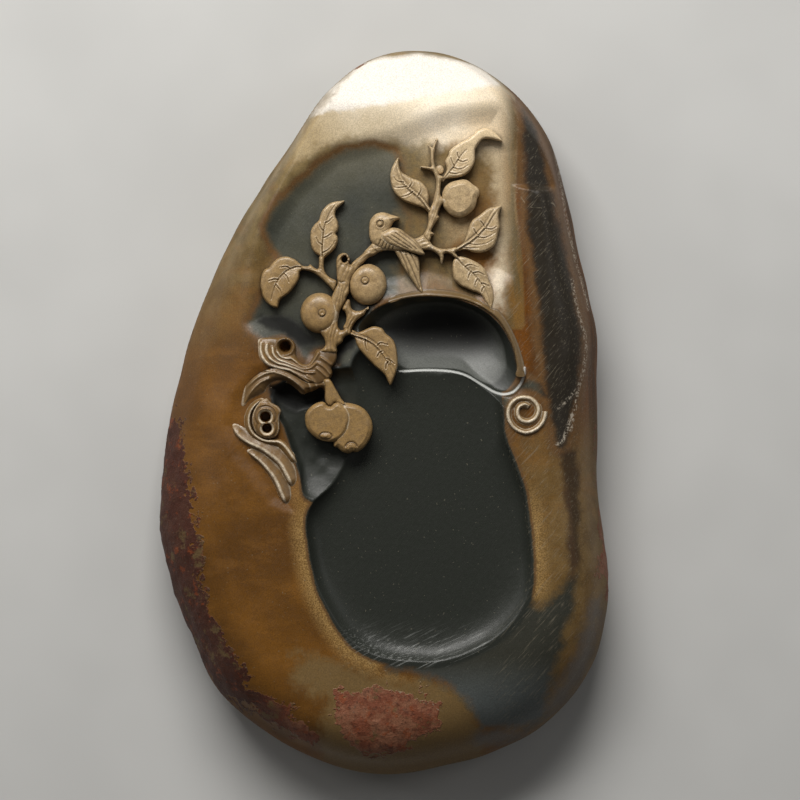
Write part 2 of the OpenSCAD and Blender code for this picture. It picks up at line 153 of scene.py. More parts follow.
# Patches of colour in the rock, as outlines on the face. SCROLL_SHADE and SHADOWS outline painted
# shade, and PALE and CAP hold pale stone brightened with a painted highlight
DARK_GROUND = [
    (-45, 30), (-34, 50), (-38, 55), (-40, 61), (-37, 68), (-33, 72), (-25, 79), (-20, 83.5),
    (-14, 86.5), (-4, 88), (4, 87), (7, 81), (5, 72), (9, 65), (7, 55), (6, 37), (-1, 36), (-4, 24),
    (-2, 10), (-16, 2), (-19, 9), (-16, 16), (-18, 21), (-22, 20), (-26, 16), (-29, 20), (-32, 24),
    (-40, 22), (-44, 26)
]
MID_GROUND = [
    (5, 88), (15, 88), (21, 80), (18, 72), (18, 65), (28, 64), (31, 59), (23, 54), (33, 37), (15, 40),
    (4, 37), (5, 72)
]
RIGHT_BAND = [
    (43.8, 102.3), (44.4, 93.1), (44.7, 83.2), (45.1, 73.3), (45.4, 60.2), (47.4, 49.7), (49, 37.2),
    (50.3, 24), (51.3, 10.9), (53, -2.3), (56.6, -12.8), (59.9, -12.1), (62.5, -2.3), (65.1, 9.2),
    (66.4, 22.4), (64.5, 35.5), (62.2, 47), (60.2, 56.9), (57.9, 65.1), (55.9, 73.3), (54, 83.2),
    (51.3, 93.1), (48, 100.3)
]
LOW_BAND = [
    (0.4, -79.2), (11.9, -79.9), (21.7, -77.9), (33.2, -74.6), (40.8, -68), (45.4, -60.8),
    (51.3, -62.8), (55.3, -60.1), (59.9, -55.5), (63.8, -52.2), (62.5, -61.5), (60.2, -69.7),
    (57.9, -77.9), (55.3, -86.1), (53.6, -94.3), (53, -101.6), (46.4, -103.5), (39.8, -103.2),
    (31.6, -103.2), (28.6, -97), (25.4, -92.4), (20.8, -89.1), (13.5, -85.8), (0.4, -83.1)
]
EDGE_GREY = [
    (73, -58.2), (71, -71.3), (67.8, -84.5), (61.2, -94.3), (54.6, -101.6), (44.7, -108.8),
    (34.9, -110.1), (29.6, -107.5), (30.9, -103.9), (39.8, -103.9), (46.4, -104.2), (53, -101.6),
    (54, -94.3), (56.3, -91), (59.2, -87.8), (63.5, -77.9), (66.1, -68), (68.4, -61.5)
]
# Painted shade beside the scroll, laid on in the colour of the slate
SCROLL_SHADE = [
    (37.5, 5), (42.1, 9.6), (47.4, 11.9), (53, 9.9), (54.6, 5.6), (52.6, 3.6), (49.7, 5.9), (46.4, 6.6),
    (42.8, 5), (40.8, 1.7), (40.1, -3.9), (40.8, -8.8), (38.2, -8.8), (36.9, -2.3)
]
CRUST = [
    [(-68, 2), (-65, -12), (-62, -32), (-61, -43), (-60, -53), (-57, -65), (-52, -75), (-44, -86),
     (-40, -91), (-31, -96), (-21, -106), (-23, -110), (-33, -106), (-41, -98), (-50, -96), (-62, -86),
     (-72, -62), (-80, -48), (-80, -20), (-76, -6)],
    [(-17, -91), (-11, -89), (2, -90), (12, -91), (20, -94), (18, -103), (12, -109), (0, -112),
     (-11, -111), (-16, -104)],
    [(70, -4), (78, -9), (79, -61), (71, -63), (71.5, -35)],
    [(-12, 117), (-6, 118), (-8, 113), (-11, 114)]
]
OLIVE = [
    (-28, -78), (-18, -80), (-1, -86), (12, -87), (24, -90), (31, -97), (34, -108), (30, -122),
    (5, -126), (-16, -122), (-22, -108), (-19, -94), (-31, -88)
]
PALE = [
    (-31, 81), (-28, 89), (-24, 95), (-21, 101), (-15, 109.5), (-8.5, 118), (12, 124), (38, 114),
    (46, 106), (50, 98), (50, 77), (44, 62), (42, 50), (40, 34), (35, 36), (36, 50), (37, 66), (34, 84),
    (25, 88), (15, 86), (5, 88), (-4, 89), (-14, 89), (-23, 85.5)
]
STRIPE = [
    (57.9, -13.8), (63.2, -12.1), (64.1, -28.6), (64.5, -48.3), (62.2, -54.9), (59.9, -51.6),
    (59.9, -35.1), (58.6, -22)
]
CAP = [
    (-10.5, 114.1), (-1.3, 116.7), (11.9, 117.7), (23.4, 116.1), (33.5, 113.7), (43.1, 104.2),
    (44.4, 95.4), (43.8, 83.9), (43.1, 70), (45.4, 50.3), (46.1, 27.3), (-27.6, 27.3), (-37.4, 70),
    (-32.2, 86.5), (-27.6, 93.7), (-23.6, 101.3), (-20.3, 108.2)
]
# Painted shadows: under the arch of the root, beside the foot of the trunk and on the slope above the
# root; the first is also sunk as a pocket
SHADOWS = [
    [(-38.1, 9.2), (-32.5, 10.9), (-29.9, 10.3), (-27.9, 8.6), (-25.3, 7.3), (-22.3, 8.4), (-20, 8.8),
     (-18.7, 5.9), (-20.3, 2.7), (-24.3, 1.7), (-28.2, 0.4), (-31.5, 1.7), (-34.8, 3.2), (-37.4, 5.3)],
    [(-16.7, 24.7), (-11.1, 26.3), (-8.8, 22.4), (-12.1, 19.8), (-14.8, 15.5), (-16.1, 10.9),
     (-15.1, 6.9), (-16.7, 6.9), (-17.7, 11.5), (-17.4, 19.1)],
    [(-41.4, 29.9), (-40.1, 31.9), (-32.5, 32.2), (-27.6, 29.3), (-23, 26), (-21, 22.1), (-27.6, 21.4),
     (-32.5, 26), (-37.4, 26.7)]
]
ROOT_GROUND = [
    (-48.6, 4.3), (-41.4, 13.5), (-30.9, 17.4), (-17.7, 13.5), (-15.1, 4.3), (-27.6, 4.3),
    (-32.5, -2.3), (-27.6, -18.7), (-30.2, -31.2), (-36.8, -28.6), (-42.4, -20.4), (-48, -13.8),
    (-50.6, -3.9)
]

# Lines of small chips and of cracks
CHIPS = [
    [(56.6, 86.5), (58.6, 73.3), (60.2, 63.5), (62.8, 52), (65.5, 42.1), (67.4, 33.9)],
    [(61.8, 43.7), (63.2, 35.5), (65.1, 29), (66.4, 22.4), (65.5, 14.2), (63.8, 8.2), (62.5, 1),
     (61.2, -5.6)],
    [(63.8, 8.2), (59.9, 4.3), (57.2, 1.7)],
    [(61.5, -0.6), (58.6, -8.8), (56.6, -10.2)]
]
CRACKS = [
    [(38.2, 69.4), (42.1, 70.7), (43.4, 72.4), (47.4, 67.4), (53, 67.4), (55.3, 69.1), (57.9, 62.8)],
    [(-7, -80), (-2, -83), (3, -85), (4, -88), (6, -92), (13, -92), (18, -97), (23, -97)]
]

# Holes in the knots of the root: middle and half widths
UPPER_HOLE = (-32.2, 21.7, 1.9, 1.9)
KNOT_HOLES = [(-38.6, -1.2, 1.75, 1.75), (-38.1, -4.9, 1.6, 1.55)]

# The carving: outline, rib and veins of each leaf
LEAVES = {
    "leaf_left_upper": dict(
        outline=[
            (-20.4, 50.6), (-21.2, 51.5), (-22.4, 52.3), (-23.5, 53.9), (-23.9, 55.9), (-24, 57.9),
            (-23.7, 59.8), (-22.7, 61.5), (-21.2, 63), (-20.8, 64.4), (-20.1, 66.1), (-18.7, 67.7),
            (-17.4, 68.6), (-15.8, 69.1), (-14.1, 69.3), (-12.7, 69.4), (-14.1, 67.9), (-15.5, 66.6),
            (-15.9, 65.1), (-15.6, 63.8), (-15, 62.6), (-14.8, 60.8), (-15.1, 59.5), (-15.7, 58.5),
            (-15.1, 57.7), (-15, 56.5), (-15.3, 55.2), (-15.9, 53.9), (-17.1, 52.6), (-18.4, 51.5),
            (-19.6, 50.6)
        ],
        rib=[
            (-20, 50.6), (-20.1, 53.6), (-19.9, 56.9), (-19.5, 60.2), (-18.7, 62.8), (-17.4, 65.8),
            (-15.6, 68.2)
        ],
        veins=[
            [(-19.7, 59.5), (-20.5, 60.5), (-21, 61.6)],
            [(-19.7, 57.2), (-18.4, 57.7), (-16.9, 58.7)],
            [(-20.1, 54.9), (-21.2, 55.7), (-22, 57.2)],
            [(-20, 52.3), (-18.1, 53.3), (-16.8, 54.7), (-15.9, 56.2)],
            [(-18.9, 62.1), (-17.8, 62.8), (-16.6, 63.9)]
        ]),
    "leaf_left_lower": dict(
        outline=[
            (-26.8, 48.2), (-27.6, 49), (-28.6, 49.9), (-29.9, 50.6), (-31.2, 51.1), (-32.9, 51.1),
            (-34.5, 50.6), (-35.8, 49.6), (-36.8, 48.5), (-37.6, 47.5), (-38.8, 47), (-39.7, 45.7),
            (-40.1, 43.7), (-40.3, 41.8), (-39.9, 39.8), (-39.5, 38.1), (-38.5, 36.5), (-37.2, 35.2),
            (-35.8, 34.5), (-34.7, 34.4), (-34.3, 35.8), (-33.7, 37.2), (-32.2, 38.3), (-30.6, 39.6),
            (-29.3, 41.3), (-28.3, 42.7), (-27.6, 44.4), (-27.5, 46), (-26.6, 47)
        ],
        rib=[
            (-26.6, 47.7), (-28.3, 47.8), (-29.9, 47.3), (-31.6, 46.5), (-32.9, 45.4), (-34.2, 43.9),
            (-35.2, 42.2), (-36, 40.1), (-36.7, 37.2)
        ],
        veins=[
            [(-30.6, 47.2), (-31.9, 47.8), (-33.9, 47.5)],
            [(-32.5, 45.5), (-31.5, 44.4), (-30.9, 42.7)],
            [(-34.4, 43.6), (-35.8, 43.7), (-37.5, 43.1)],
            [(-35.2, 41.9), (-33.9, 40.3), (-33.2, 38.5)]
        ]),
    "leaf_top_left": dict(
        outline=[
            (15, 65.1), (13.8, 66.4), (12.5, 67.2), (10.8, 67.7), (8.9, 68.4), (6.9, 69.2), (5.3, 70.2),
            (3.9, 71.5), (2.9, 73.2), (2.3, 75.3), (2.1, 77.6), (2.5, 79.7), (3.3, 81.5), (4.2, 82.9),
            (4.9, 83.5), (4.9, 82), (5, 80.7), (5.4, 79.4), (6.2, 78.4), (7.9, 77.4), (9.5, 76.6),
            (11.2, 76), (12.5, 75.3), (13.6, 74.1), (14.4, 72.7), (14.7, 70.7), (14.6, 69),
            (14.8, 67.6), (15.8, 66.4)
        ],
        rib=[
            (15, 66.2), (13.5, 68.4), (11.8, 70.4), (9.9, 72), (7.9, 73.8), (6.2, 75.8), (5.3, 77.6),
            (4.8, 79.9)
        ],
        veins=[
            [(9.5, 72.2), (7.6, 71), (5.3, 70.4)],
            [(7.6, 74), (5.6, 73.6), (3.6, 73.6), (2.6, 74.8)],
            [(6.6, 75.3), (4.6, 75.6), (3.3, 76.9)],
            [(11.2, 70.8), (12.2, 73), (11.8, 74.8)],
            [(8.2, 73.5), (9.2, 75.1), (8.9, 76.4)]
        ]),
    "leaf_top_right": dict(
        outline=[
            (18.9, 76.1), (19.6, 77.4), (20.4, 78.9), (20.5, 80.4), (20, 81.9), (20.4, 83.1),
            (21.1, 84.2), (21.4, 85.5), (22.4, 86.6), (24, 87.7), (25.6, 88.7), (27, 89.4),
            (28.3, 90.3), (29.3, 91.1), (30.2, 92.1), (31.6, 92.8), (32.9, 93.2), (34.2, 93),
            (35.5, 92.3), (36.8, 91.2), (37.8, 90.2), (38.8, 88.8), (37.2, 89.1), (35.5, 89.5),
            (33.9, 89.7), (32.5, 89.5), (31.6, 88.8), (30.6, 87.5), (29.9, 86.1), (29.8, 84.5),
            (29.8, 82.8), (29.3, 81), (28.4, 79.6), (27.6, 78.6), (26.3, 77.7), (24.7, 77.1),
            (23, 76.9), (21.4, 76.7), (20.2, 76.5), (19.4, 75.6)
        ],
        rib=[(19.4, 76.3), (21, 78.2), (22.7, 80.2), (24, 82.2), (25.3, 84.2), (27, 86)],
        veins=[
            [(23, 80.7), (22.4, 81.9), (21.9, 83.3)],
            [(24.7, 83.2), (24.2, 84), (24, 85)],
            [(24.3, 82.7), (25.6, 82), (27.3, 82.5)],
            [(22.7, 80.1), (24.3, 79.6), (26, 79.9), (27.6, 81)],
            [(21.4, 78.4), (23.3, 78.1), (25.3, 78.4)]
        ]),
    "leaf_right_upper": dict(
        outline=[
            (23.7, 54), (25, 54.8), (26.1, 55.8), (26.7, 57), (27.3, 58.8), (27.8, 60.5), (28.2, 61.8),
            (29.3, 63.3), (30.9, 64.4), (32.2, 65.4), (33.5, 66.5), (34.8, 67.1), (36.5, 67.4),
            (38.4, 67.7), (37.9, 66.1), (37.5, 64.4), (37.7, 62.5), (37.9, 60.8), (37.5, 59.2),
            (37.1, 57.5), (36.7, 55.9), (35.8, 54.4), (34.5, 53.4), (32.9, 52.7), (30.9, 52.4),
            (28.9, 52.7), (27.3, 53.3), (25.3, 53.3), (23.7, 52.8)
        ],
        rib=[
            (23.7, 53.5), (26, 54.9), (28.3, 56.3), (30.2, 57.9), (31.9, 59.7), (33.5, 61.6),
            (34.8, 63.8), (36.2, 65.9)
        ],
        veins=[
            [(32.9, 60.8), (32.2, 62), (31.6, 62.6)],
            [(30.6, 58.2), (29.9, 59), (29.4, 60)],
            [(33.5, 60.2), (35.2, 60), (36.8, 60.8)],
            [(30.9, 57.4), (32.9, 57.2), (34.8, 57.9), (36.5, 59)],
            [(27.6, 55.4), (30.2, 54.9), (33.5, 55.4), (35.8, 56.7)],
            [(26, 54.1), (28.3, 53.8), (31.2, 53.8)]
        ]),
    "leaf_right_lower": dict(
        outline=[
            (23.7, 50.8), (24.4, 51.1), (26, 51), (27.6, 50.5), (29.3, 49.8), (30.9, 48.9), (32.2, 48),
            (33.1, 46.9), (33.6, 45.7), (34, 44.4), (34.4, 43.2), (34.9, 42.3), (35.4, 41.1),
            (35.8, 39.5), (36.1, 37.5), (35.8, 35.7), (35.4, 34.5), (34.9, 33.5), (34.2, 34.7),
            (33.2, 36.2), (32.5, 37.4), (31.9, 38.4), (30.9, 39.2), (28.9, 39.9), (27, 40.7),
            (25.3, 41.5), (24, 42.5), (23, 43.7), (22.6, 45), (22.4, 47), (22.5, 48.8), (22.8, 50)
        ],
        rib=[
            (23.5, 51.3), (25, 49.3), (27, 47.3), (28.9, 45.8), (30.2, 44.4), (31.6, 42.7),
            (32.9, 40.9), (34, 38.5), (34.8, 35.8)
        ],
        veins=[
            [(26.6, 47.7), (27.6, 48.3), (28.9, 48.3), (30.9, 47.5)],
            [(29.3, 45.7), (30.9, 46), (32.9, 45)],
            [(31.9, 42.4), (33, 42.1), (34.5, 41.4)],
            [(28.4, 46), (27.8, 45), (27.6, 43.9)],
            [(30.7, 43.7), (30.1, 42.9), (29.8, 41.8)],
            [(32.7, 41.1), (32.1, 40.4), (32, 39.5)]
        ]),
    "leaf_over_pool": dict(
        outline=[
            (-11, 25.5), (-10.8, 26.5), (-10.2, 27.2), (-9.2, 26.6), (-8.1, 26.4), (-6.6, 27),
            (-4.9, 27.8), (-3.3, 28.3), (-1.6, 28.1), (-0.3, 27.4), (0.4, 26.3), (1.2, 25.5),
            (2.3, 24.7), (3.3, 23.5), (3.9, 22), (4.3, 20.1), (4.5, 18.1), (4.6, 16.1), (4.4, 14.5),
            (3.9, 12.8), (3.3, 11.2), (2.3, 9.1), (1.6, 9.9), (1, 11.2), (0.3, 12.5), (-1, 13.8),
            (-2.6, 15.1), (-4.3, 16.8), (-5.6, 18.1), (-6.9, 19.6), (-7.9, 20.7), (-8.5, 21.7),
            (-9, 22.8), (-9.2, 23.9), (-9.9, 24.8)
        ],
        rib=[
            (-10.7, 26), (-8.9, 25.3), (-6.9, 24.7), (-4.9, 23.8), (-3, 22.6), (-1.3, 20.9), (0, 19.2),
            (1.2, 17.6), (2, 16.1)
        ],
        veins=[
            [(-2.1, 22), (-1, 22.9), (1.3, 22.3)],
            [(-0.5, 20.2), (-1.5, 19.6), (-2.1, 18.4)],
            [(-5.9, 24.1), (-6, 22.4), (-5.5, 20.5)],
            [(1, 17.8), (2.5, 16.9), (3.5, 16)],
            [(1.5, 16.8), (0.8, 15.8), (0.7, 14.5)]
        ]),
}
BIRD_BODY = [
    (5.2, 63.8), (3.9, 64.3), (2.3, 64.8), (0.7, 65.4), (-1, 65.5), (-2.6, 65), (-3.6, 64.1),
    (-4.3, 63.1), (-4.7, 61.8), (-4.8, 60.5), (-4.8, 58.8), (-4.6, 57.2), (-4.1, 55.9), (-3.1, 54.9),
    (-1.8, 54.1), (-0.7, 53.6), (1, 53.3), (2.6, 53.2), (4.3, 52.9), (5.9, 52.9), (6.6, 54.2),
    (5.6, 56.9), (4.3, 59.2), (2.6, 60), (2.2, 60.5), (2.6, 61.3), (3, 62.1), (3.7, 62.8), (4.7, 63.2)
]
BIRD_WING = [
    (-0.2, 59.1), (1.3, 59.8), (2.6, 60.4), (3.9, 60.4), (5.3, 60), (6.6, 59.2), (7.9, 58.2),
    (9.2, 57.3), (10.2, 56.7), (11.2, 55.7), (12, 54.6), (12.5, 53.4), (13.4, 51.8), (12.2, 51.6),
    (10.5, 52), (8.9, 52.5), (7.2, 53.2), (5.3, 53.7), (3.3, 54.4), (1.3, 55.2), (0, 56.1),
    (-0.8, 57.1), (-1.1, 58.2)
]
BIRD_TAIL = [
    (3.5, 53.2), (4.3, 51.6), (5.3, 49.9), (6.2, 48.1), (7.2, 46.4), (8.1, 45), (8.5, 44.5),
    (9.2, 43.4), (10.2, 41.9), (11.2, 40.4), (12.4, 39.1), (12.8, 39.8), (12.2, 42.4), (11.8, 44.7),
    (11.7, 47), (11.6, 49.3), (11.2, 51), (9.9, 52.1), (7.9, 52.9), (5.3, 53.4)
]
TRUNK = [
    (-20.5, 20.1), (-19.1, 22), (-19.3, 24), (-20.2, 25.6), (-20.7, 27), (-19.4, 27.8), (-17.9, 29.1),
    (-17.4, 31.2), (-17.4, 33.5), (-17.4, 35.5), (-17.1, 37.6), (-16.5, 39.1), (-15.8, 40.8),
    (-15.1, 42.2), (-15.3, 44.7), (-15.4, 47), (-15.5, 49), (-15.2, 50.8), (-14.3, 51.9), (-13, 52.3),
    (-11.8, 51.8), (-11.2, 50.8), (-11, 49.6), (-10.5, 48.9), (-8.9, 50.3), (-7.2, 51.7), (-5.6, 53.5),
    (-4.4, 54.7), (-3.3, 55.7), (-1.3, 55.2), (1.3, 54.6), (3.9, 54.4), (6.6, 54.7), (8.9, 56.7),
    (10.2, 56.9), (11.8, 57.5), (13, 58.2), (14.3, 56.9), (15.8, 54.9), (16.4, 53.4), (14.1, 53.3),
    (11.8, 53.2), (9.2, 52.9), (6.6, 52.9), (3.9, 53), (1.3, 53.2), (-1.3, 52.7), (-3, 51.6),
    (-4.6, 51), (-6.2, 49.6), (-7.9, 47.7), (-9.5, 45.7), (-10.7, 43.6), (-11.2, 41.4), (-11.3, 39.5),
    (-12.2, 37.7), (-12.7, 36.3), (-13.6, 34.8), (-14.3, 33.4), (-15, 31.2), (-15.1, 28.9),
    (-14.6, 27.5), (-13.5, 27), (-12.3, 27.9), (-11, 27.3), (-10.9, 25.8), (-12.2, 25.3), (-13.1, 24.5),
    (-13.5, 23.2), (-14.6, 22.4), (-15.4, 21.5), (-15.6, 19.7)
]
UPPER_TWIG = [
    (13, 58), (13.8, 59.7), (14.4, 61.5), (14.6, 63.5), (14.6, 65.1), (15.1, 66.7), (15.9, 68.5),
    (16.5, 70.7), (17, 73), (17.2, 75.3), (16.8, 77.3), (15.9, 79.1), (14.1, 79.7), (11.8, 80.1),
    (12, 80.6), (14, 80.5), (15.6, 80.5), (15.3, 83.2), (15.3, 85.8), (14.5, 87.6), (14.2, 88.3),
    (15, 87.6), (15.8, 86.7), (16.4, 88.1), (17.3, 89.9), (17.8, 90.1), (17.3, 88.4), (16.7, 86.5),
    (16.4, 83.8), (16.5, 81.5), (17.2, 79.6), (18.1, 77.8), (19.1, 77.3), (19.6, 76.8), (18.7, 75.5),
    (18.5, 73.3), (18.5, 71.2), (19.7, 70.4), (20.8, 70.1), (21.6, 69), (21.7, 68), (20.9, 68.1),
    (20.1, 68.4), (19.1, 68.2), (18.4, 67.1), (17.9, 65.8), (17.7, 64.5), (18.2, 63.9), (17.3, 62.8),
    (16.5, 61.6), (15.7, 60.2), (15.5, 59.3), (16.6, 58.5), (15.6, 57.9), (15.3, 57), (14.6, 55.7)
]
RIGHT_TWIG = [
    (14, 56.4), (15.1, 55.3), (16.4, 54.5), (18.1, 53.8), (20.1, 53.6), (22, 53.8), (23.7, 54.1),
    (24, 53.1), (23.3, 52.4), (23.8, 51.6), (24.5, 50.5), (23.7, 50.5), (22.8, 51.2), (21.9, 51.9),
    (20.7, 52.3), (19.6, 52), (19.6, 51), (19.3, 49.6), (19, 48.6), (18.5, 49.5), (18.3, 50.9),
    (17.4, 52), (15.8, 53.1), (14.3, 53.7)
]
LEFT_TWIG = [
    (-15.4, 43.1), (-15.6, 41.3), (-16.3, 39.9), (-17.4, 41.1), (-19.1, 42.7), (-21, 44.5), (-23, 45.9),
    (-25, 46.6), (-26.5, 46.8), (-27, 47.4), (-26.8, 48.1), (-25.3, 47.9), (-24.4, 48.1), (-24, 48.8),
    (-23.3, 48), (-22.4, 47.3), (-21.4, 47.1), (-21.1, 49), (-21, 51.1), (-19.6, 51), (-19.6, 48.7),
    (-19.4, 46.7), (-18.6, 45.2), (-17.3, 44.1)
]
FORK = [
    (-12.4, 36.5), (-11.6, 37.2), (-11, 36.7), (-10.9, 35.2), (-10.4, 34), (-9.2, 33.4), (-7.6, 33.4),
    (-6.2, 34), (-4.8, 35), (-4.9, 34.2), (-5.8, 33.3), (-6.4, 32.1), (-7.6, 31.3), (-8.9, 30.2),
    (-9.9, 28.9), (-10.5, 27.5), (-11, 26.6), (-12.5, 27), (-13.2, 28.1), (-12.4, 29.6), (-12.2, 31.6),
    (-12.7, 33.2), (-13.6, 34)
]
STEM = [
    (-19.7, 10.7), (-18.4, 11.3), (-17.4, 10.8), (-16.4, 9.2), (-15.1, 6.9), (-13.8, 4.6), (-12.3, 2.7),
    (-14.5, 2.6), (-15.8, 3.5), (-16.8, 2.5), (-17.9, 2.3), (-18.7, 3), (-19.2, 4.9), (-19.2, 8.2)
]
FRONT_FRUIT = [
    (-25.6, -2.6), (-25.5, -0.3), (-24.3, 1.6), (-22.4, 3.1), (-20.4, 3.7), (-19.2, 3.5), (-18.4, 2.5),
    (-17.3, 2.2), (-16.3, 3.1), (-14.8, 3.6), (-13.2, 2.8), (-11.7, 1.2), (-10.9, -1), (-11.2, -3.6),
    (-12, -5.9), (-13.8, -8.1), (-16.1, -9.3), (-18.7, -9.2), (-21.4, -8.4), (-23.7, -6.7),
    (-25.1, -4.8)
]
BACK_FRUIT = [
    (-15.1, 3.6), (-13.5, 3.5), (-11.2, 3.3), (-8.5, 2.6), (-6.2, 1.2), (-4.6, -1), (-3.7, -3.6),
    (-3.8, -6.2), (-4.8, -8.9), (-6.6, -11.3), (-8.7, -12.7), (-10.2, -12.5), (-11.2, -13.1),
    (-13.2, -12.7), (-15, -11.3), (-16.4, -9.5)
]
TOP_FRUIT = [
    (19.4, 72.7), (20.2, 74.1), (21.7, 75.3), (23.7, 75.9), (26, 76.3), (27.6, 75.9), (28.9, 74.8),
    (30.6, 73.6), (31.2, 72.5), (31.1, 71.2), (30.5, 70), (30.2, 68.5), (29.7, 67.1), (28.6, 65.8),
    (27, 64.6), (25, 63.9), (23, 64.2), (21.4, 65.1), (20.2, 66.4), (19.4, 67.7), (19, 69.4), (19, 71)
]
ROOT_UPPER = [
    (-42.1, 23.7), (-40.1, 24.5), (-37.5, 24.7), (-34.5, 24.6), (-32.9, 24.8), (-30.9, 24.5),
    (-29.3, 23.2), (-28.6, 21.4), (-28.8, 19.4), (-28.1, 17.8), (-26.8, 16.3), (-25, 16), (-23.7, 17.3),
    (-22.8, 19.1), (-22.1, 20.5), (-21, 20.9), (-19.7, 20.9), (-18.7, 22.4), (-16.8, 22.4),
    (-15.6, 20.5), (-15.3, 18.4), (-15.9, 16.4), (-17.1, 15), (-16.8, 13.3), (-17.3, 11.7),
    (-18.7, 10.5), (-20.7, 9.5), (-22.7, 9.5), (-25, 9.9), (-27.6, 11.2), (-30.2, 12.7), (-32.9, 13.8),
    (-35.5, 14.5), (-38.1, 15.3), (-40.3, 17.1), (-41.6, 19.7)
]
ROOT_ARCH = [
    (-47.3, 3.6), (-46.4, 6.9), (-44.4, 9.7), (-41.8, 12.2), (-38.5, 14), (-35.5, 14.6), (-32.9, 14),
    (-30.2, 12.8), (-27.6, 11.3), (-25, 10), (-22.7, 9.7), (-20.7, 9.7), (-18.7, 10.5), (-17.9, 8.9),
    (-18.4, 7.2), (-19.2, 7.1), (-20.1, 8.2), (-21.4, 8.2), (-22.7, 7.4), (-24.7, 6.8), (-26.5, 6.2),
    (-28.4, 7.7), (-30.6, 9.4), (-32.9, 10.1), (-35.2, 9.6), (-36.8, 8.2), (-37.7, 6.2), (-39.1, 5.3),
    (-41.4, 4.3), (-43.4, 2.8), (-44.9, 0.8), (-46.4, -1), (-47.7, -0.7), (-47.8, 1.6)
]
LOWER_KNOT = [
    (-38, 4.8), (-36.8, 3.5), (-34.8, 2.4), (-33.5, 0.8), (-34, -1), (-34, -3.9), (-34.2, -6.1),
    (-35.2, -7.6), (-37.3, -8.4), (-39.6, -8.1), (-41.6, -6.6), (-42.8, -4.4), (-43.1, -2),
    (-42.6, 0.5), (-41.4, 2.8), (-39.8, 4.3)
]
# Strands of the root: middle line, half widths, place of the crest, rise
RIBBONS = [
    ([(-37.5, 5.1), (-40.1, 4.6), (-42.4, 3.1), (-44.1, 0.8), (-44.8, -2), (-44.4, -4.9), (-43.1, -7.1),
      (-41.1, -8.7), (-38.6, -9.7), (-35.9, -10), (-34.2, -10.4), (-32.6, -11.8), (-31.2, -13.7),
      (-29.7, -15.8), (-28.1, -18)],
     [0.6, 0.9, 1.2, 1.4, 1.5, 1.5, 1.5, 1.5, 1.5, 1.7, 1.9, 2, 2, 1.8, 1.2], 0.5, 2.1),
    ([(-49.3, -1.6), (-48.3, -4.6), (-46.3, -7), (-43, -9), (-39.3, -10.6), (-36, -12.8), (-33, -15.4),
      (-31.1, -18.6), (-29.5, -22.2), (-28.7, -25.2)],
     [1, 1.8, 2.3, 2.6, 2.8, 3, 3, 3, 2.6, 1.6], -0.4, 2.1),
    ([(-45.8, -10.9), (-42.5, -13), (-39.3, -15.3), (-36.4, -18.3), (-34.1, -21.5), (-32.5, -25.2),
      (-31.4, -28.4), (-30.8, -31)],
     [1, 1.8, 2.3, 2.7, 2.9, 2.9, 2.4, 1.4], -0.4, 2)
]
# Grooved strands over the knot of the root, and over its arch
FLOWS = [
    [(-40.1, 23), (-40.3, 20.7), (-39.5, 18.1), (-37.5, 15.9), (-34.5, 14.8), (-30.9, 14.1),
     (-28.3, 12.8), (-25.6, 11.5), (-23, 10.5)],
    [(-38.1, 22.4), (-38.3, 20.4), (-37.2, 18.1), (-34.8, 16.4), (-31.6, 15.5), (-28.3, 14.3),
     (-25.6, 13.3), (-22.7, 13.3)],
    [(-36.3, 21.4), (-36, 19.4), (-34.5, 17.6), (-31.9, 16.6), (-29.3, 15.6), (-26.6, 14.5),
     (-24, 14.8), (-22, 16.4)],
    [(-34.8, 20.1), (-33.7, 18.6), (-31.9, 17.9), (-30.1, 17.9), (-28.6, 16.8), (-26.6, 15.4),
     (-24.3, 15.6), (-22.7, 17.4), (-21.4, 19.6)],
    [(-42.1, 16.4), (-41.4, 15.1), (-39.5, 14.1), (-36.8, 13.6), (-33.5, 12.8), (-30.2, 11.2),
     (-27.6, 9.2), (-25.6, 7.2)],
    [(-27.6, 12.2), (-25.6, 10.8), (-24.3, 9.4), (-23.7, 7.6)],
    [(-25, 12.2), (-23.3, 11), (-22.2, 9.5), (-21.7, 8.2)],
    [(-21, 16.1), (-19.1, 14.8), (-17.4, 12.8)],
    [(-21.7, 14.5), (-20.1, 13.3), (-18.4, 11.7)],
    [(-20.4, 18.1), (-18.4, 16.8), (-16.8, 15.5)]
]
ARCH_LINES = [
    [(-47, 4.3), (-45.7, 7.1), (-43.7, 9.5), (-41.1, 11.7), (-38.1, 13.1), (-35.2, 13.5)],
    [(-45.4, 3), (-44.2, 5.8), (-42.4, 8.2), (-40.1, 10.2), (-37.5, 11.3)]
]
# Inner and outer edge of the border of the pool
BEAD_IN = [
    (-3.9, 31.9), (-1.3, 34.2), (2, 36), (5.9, 37.2), (10.2, 37.9), (15.1, 38.1), (20.1, 37.9),
    (24.3, 37.5), (28.3, 36.4), (31.6, 34.8), (34.8, 32.7), (37.8, 29.9), (40.1, 26.3), (41.8, 22.7),
    (42.9, 18.7), (43.5, 14.8), (43.2, 12.2)
]
BEAD_OUT = [
    (-5.3, 34.2), (-2, 36.2), (2, 37.8), (5.9, 39), (10.2, 39.9), (15.1, 40.5), (20.1, 40.3),
    (24.3, 39.6), (28.3, 38.5), (31.9, 36.7), (34.8, 34.5), (37.2, 33.9), (39.1, 31.7), (41.4, 27.9),
    (43.4, 23.7), (44.9, 19.4), (45.9, 15.5), (46.2, 12.2)
]
# Line of the trunk, and the holes of its stub: middle, half widths and corners
TRUNK_LINE = [
    (-17.4, 18), (-17.4, 26), (-15.4, 33), (-14, 40), (-12.4, 46), (-9, 50.5), (-5.5, 53.2), (0, 54),
    (8, 54), (14, 56)
]
STUB_HOLES = [(-12.8, 50.2, 0.95, 1.15, 18), (-10.9, 49.1, 0.5, 0.7, 12)]
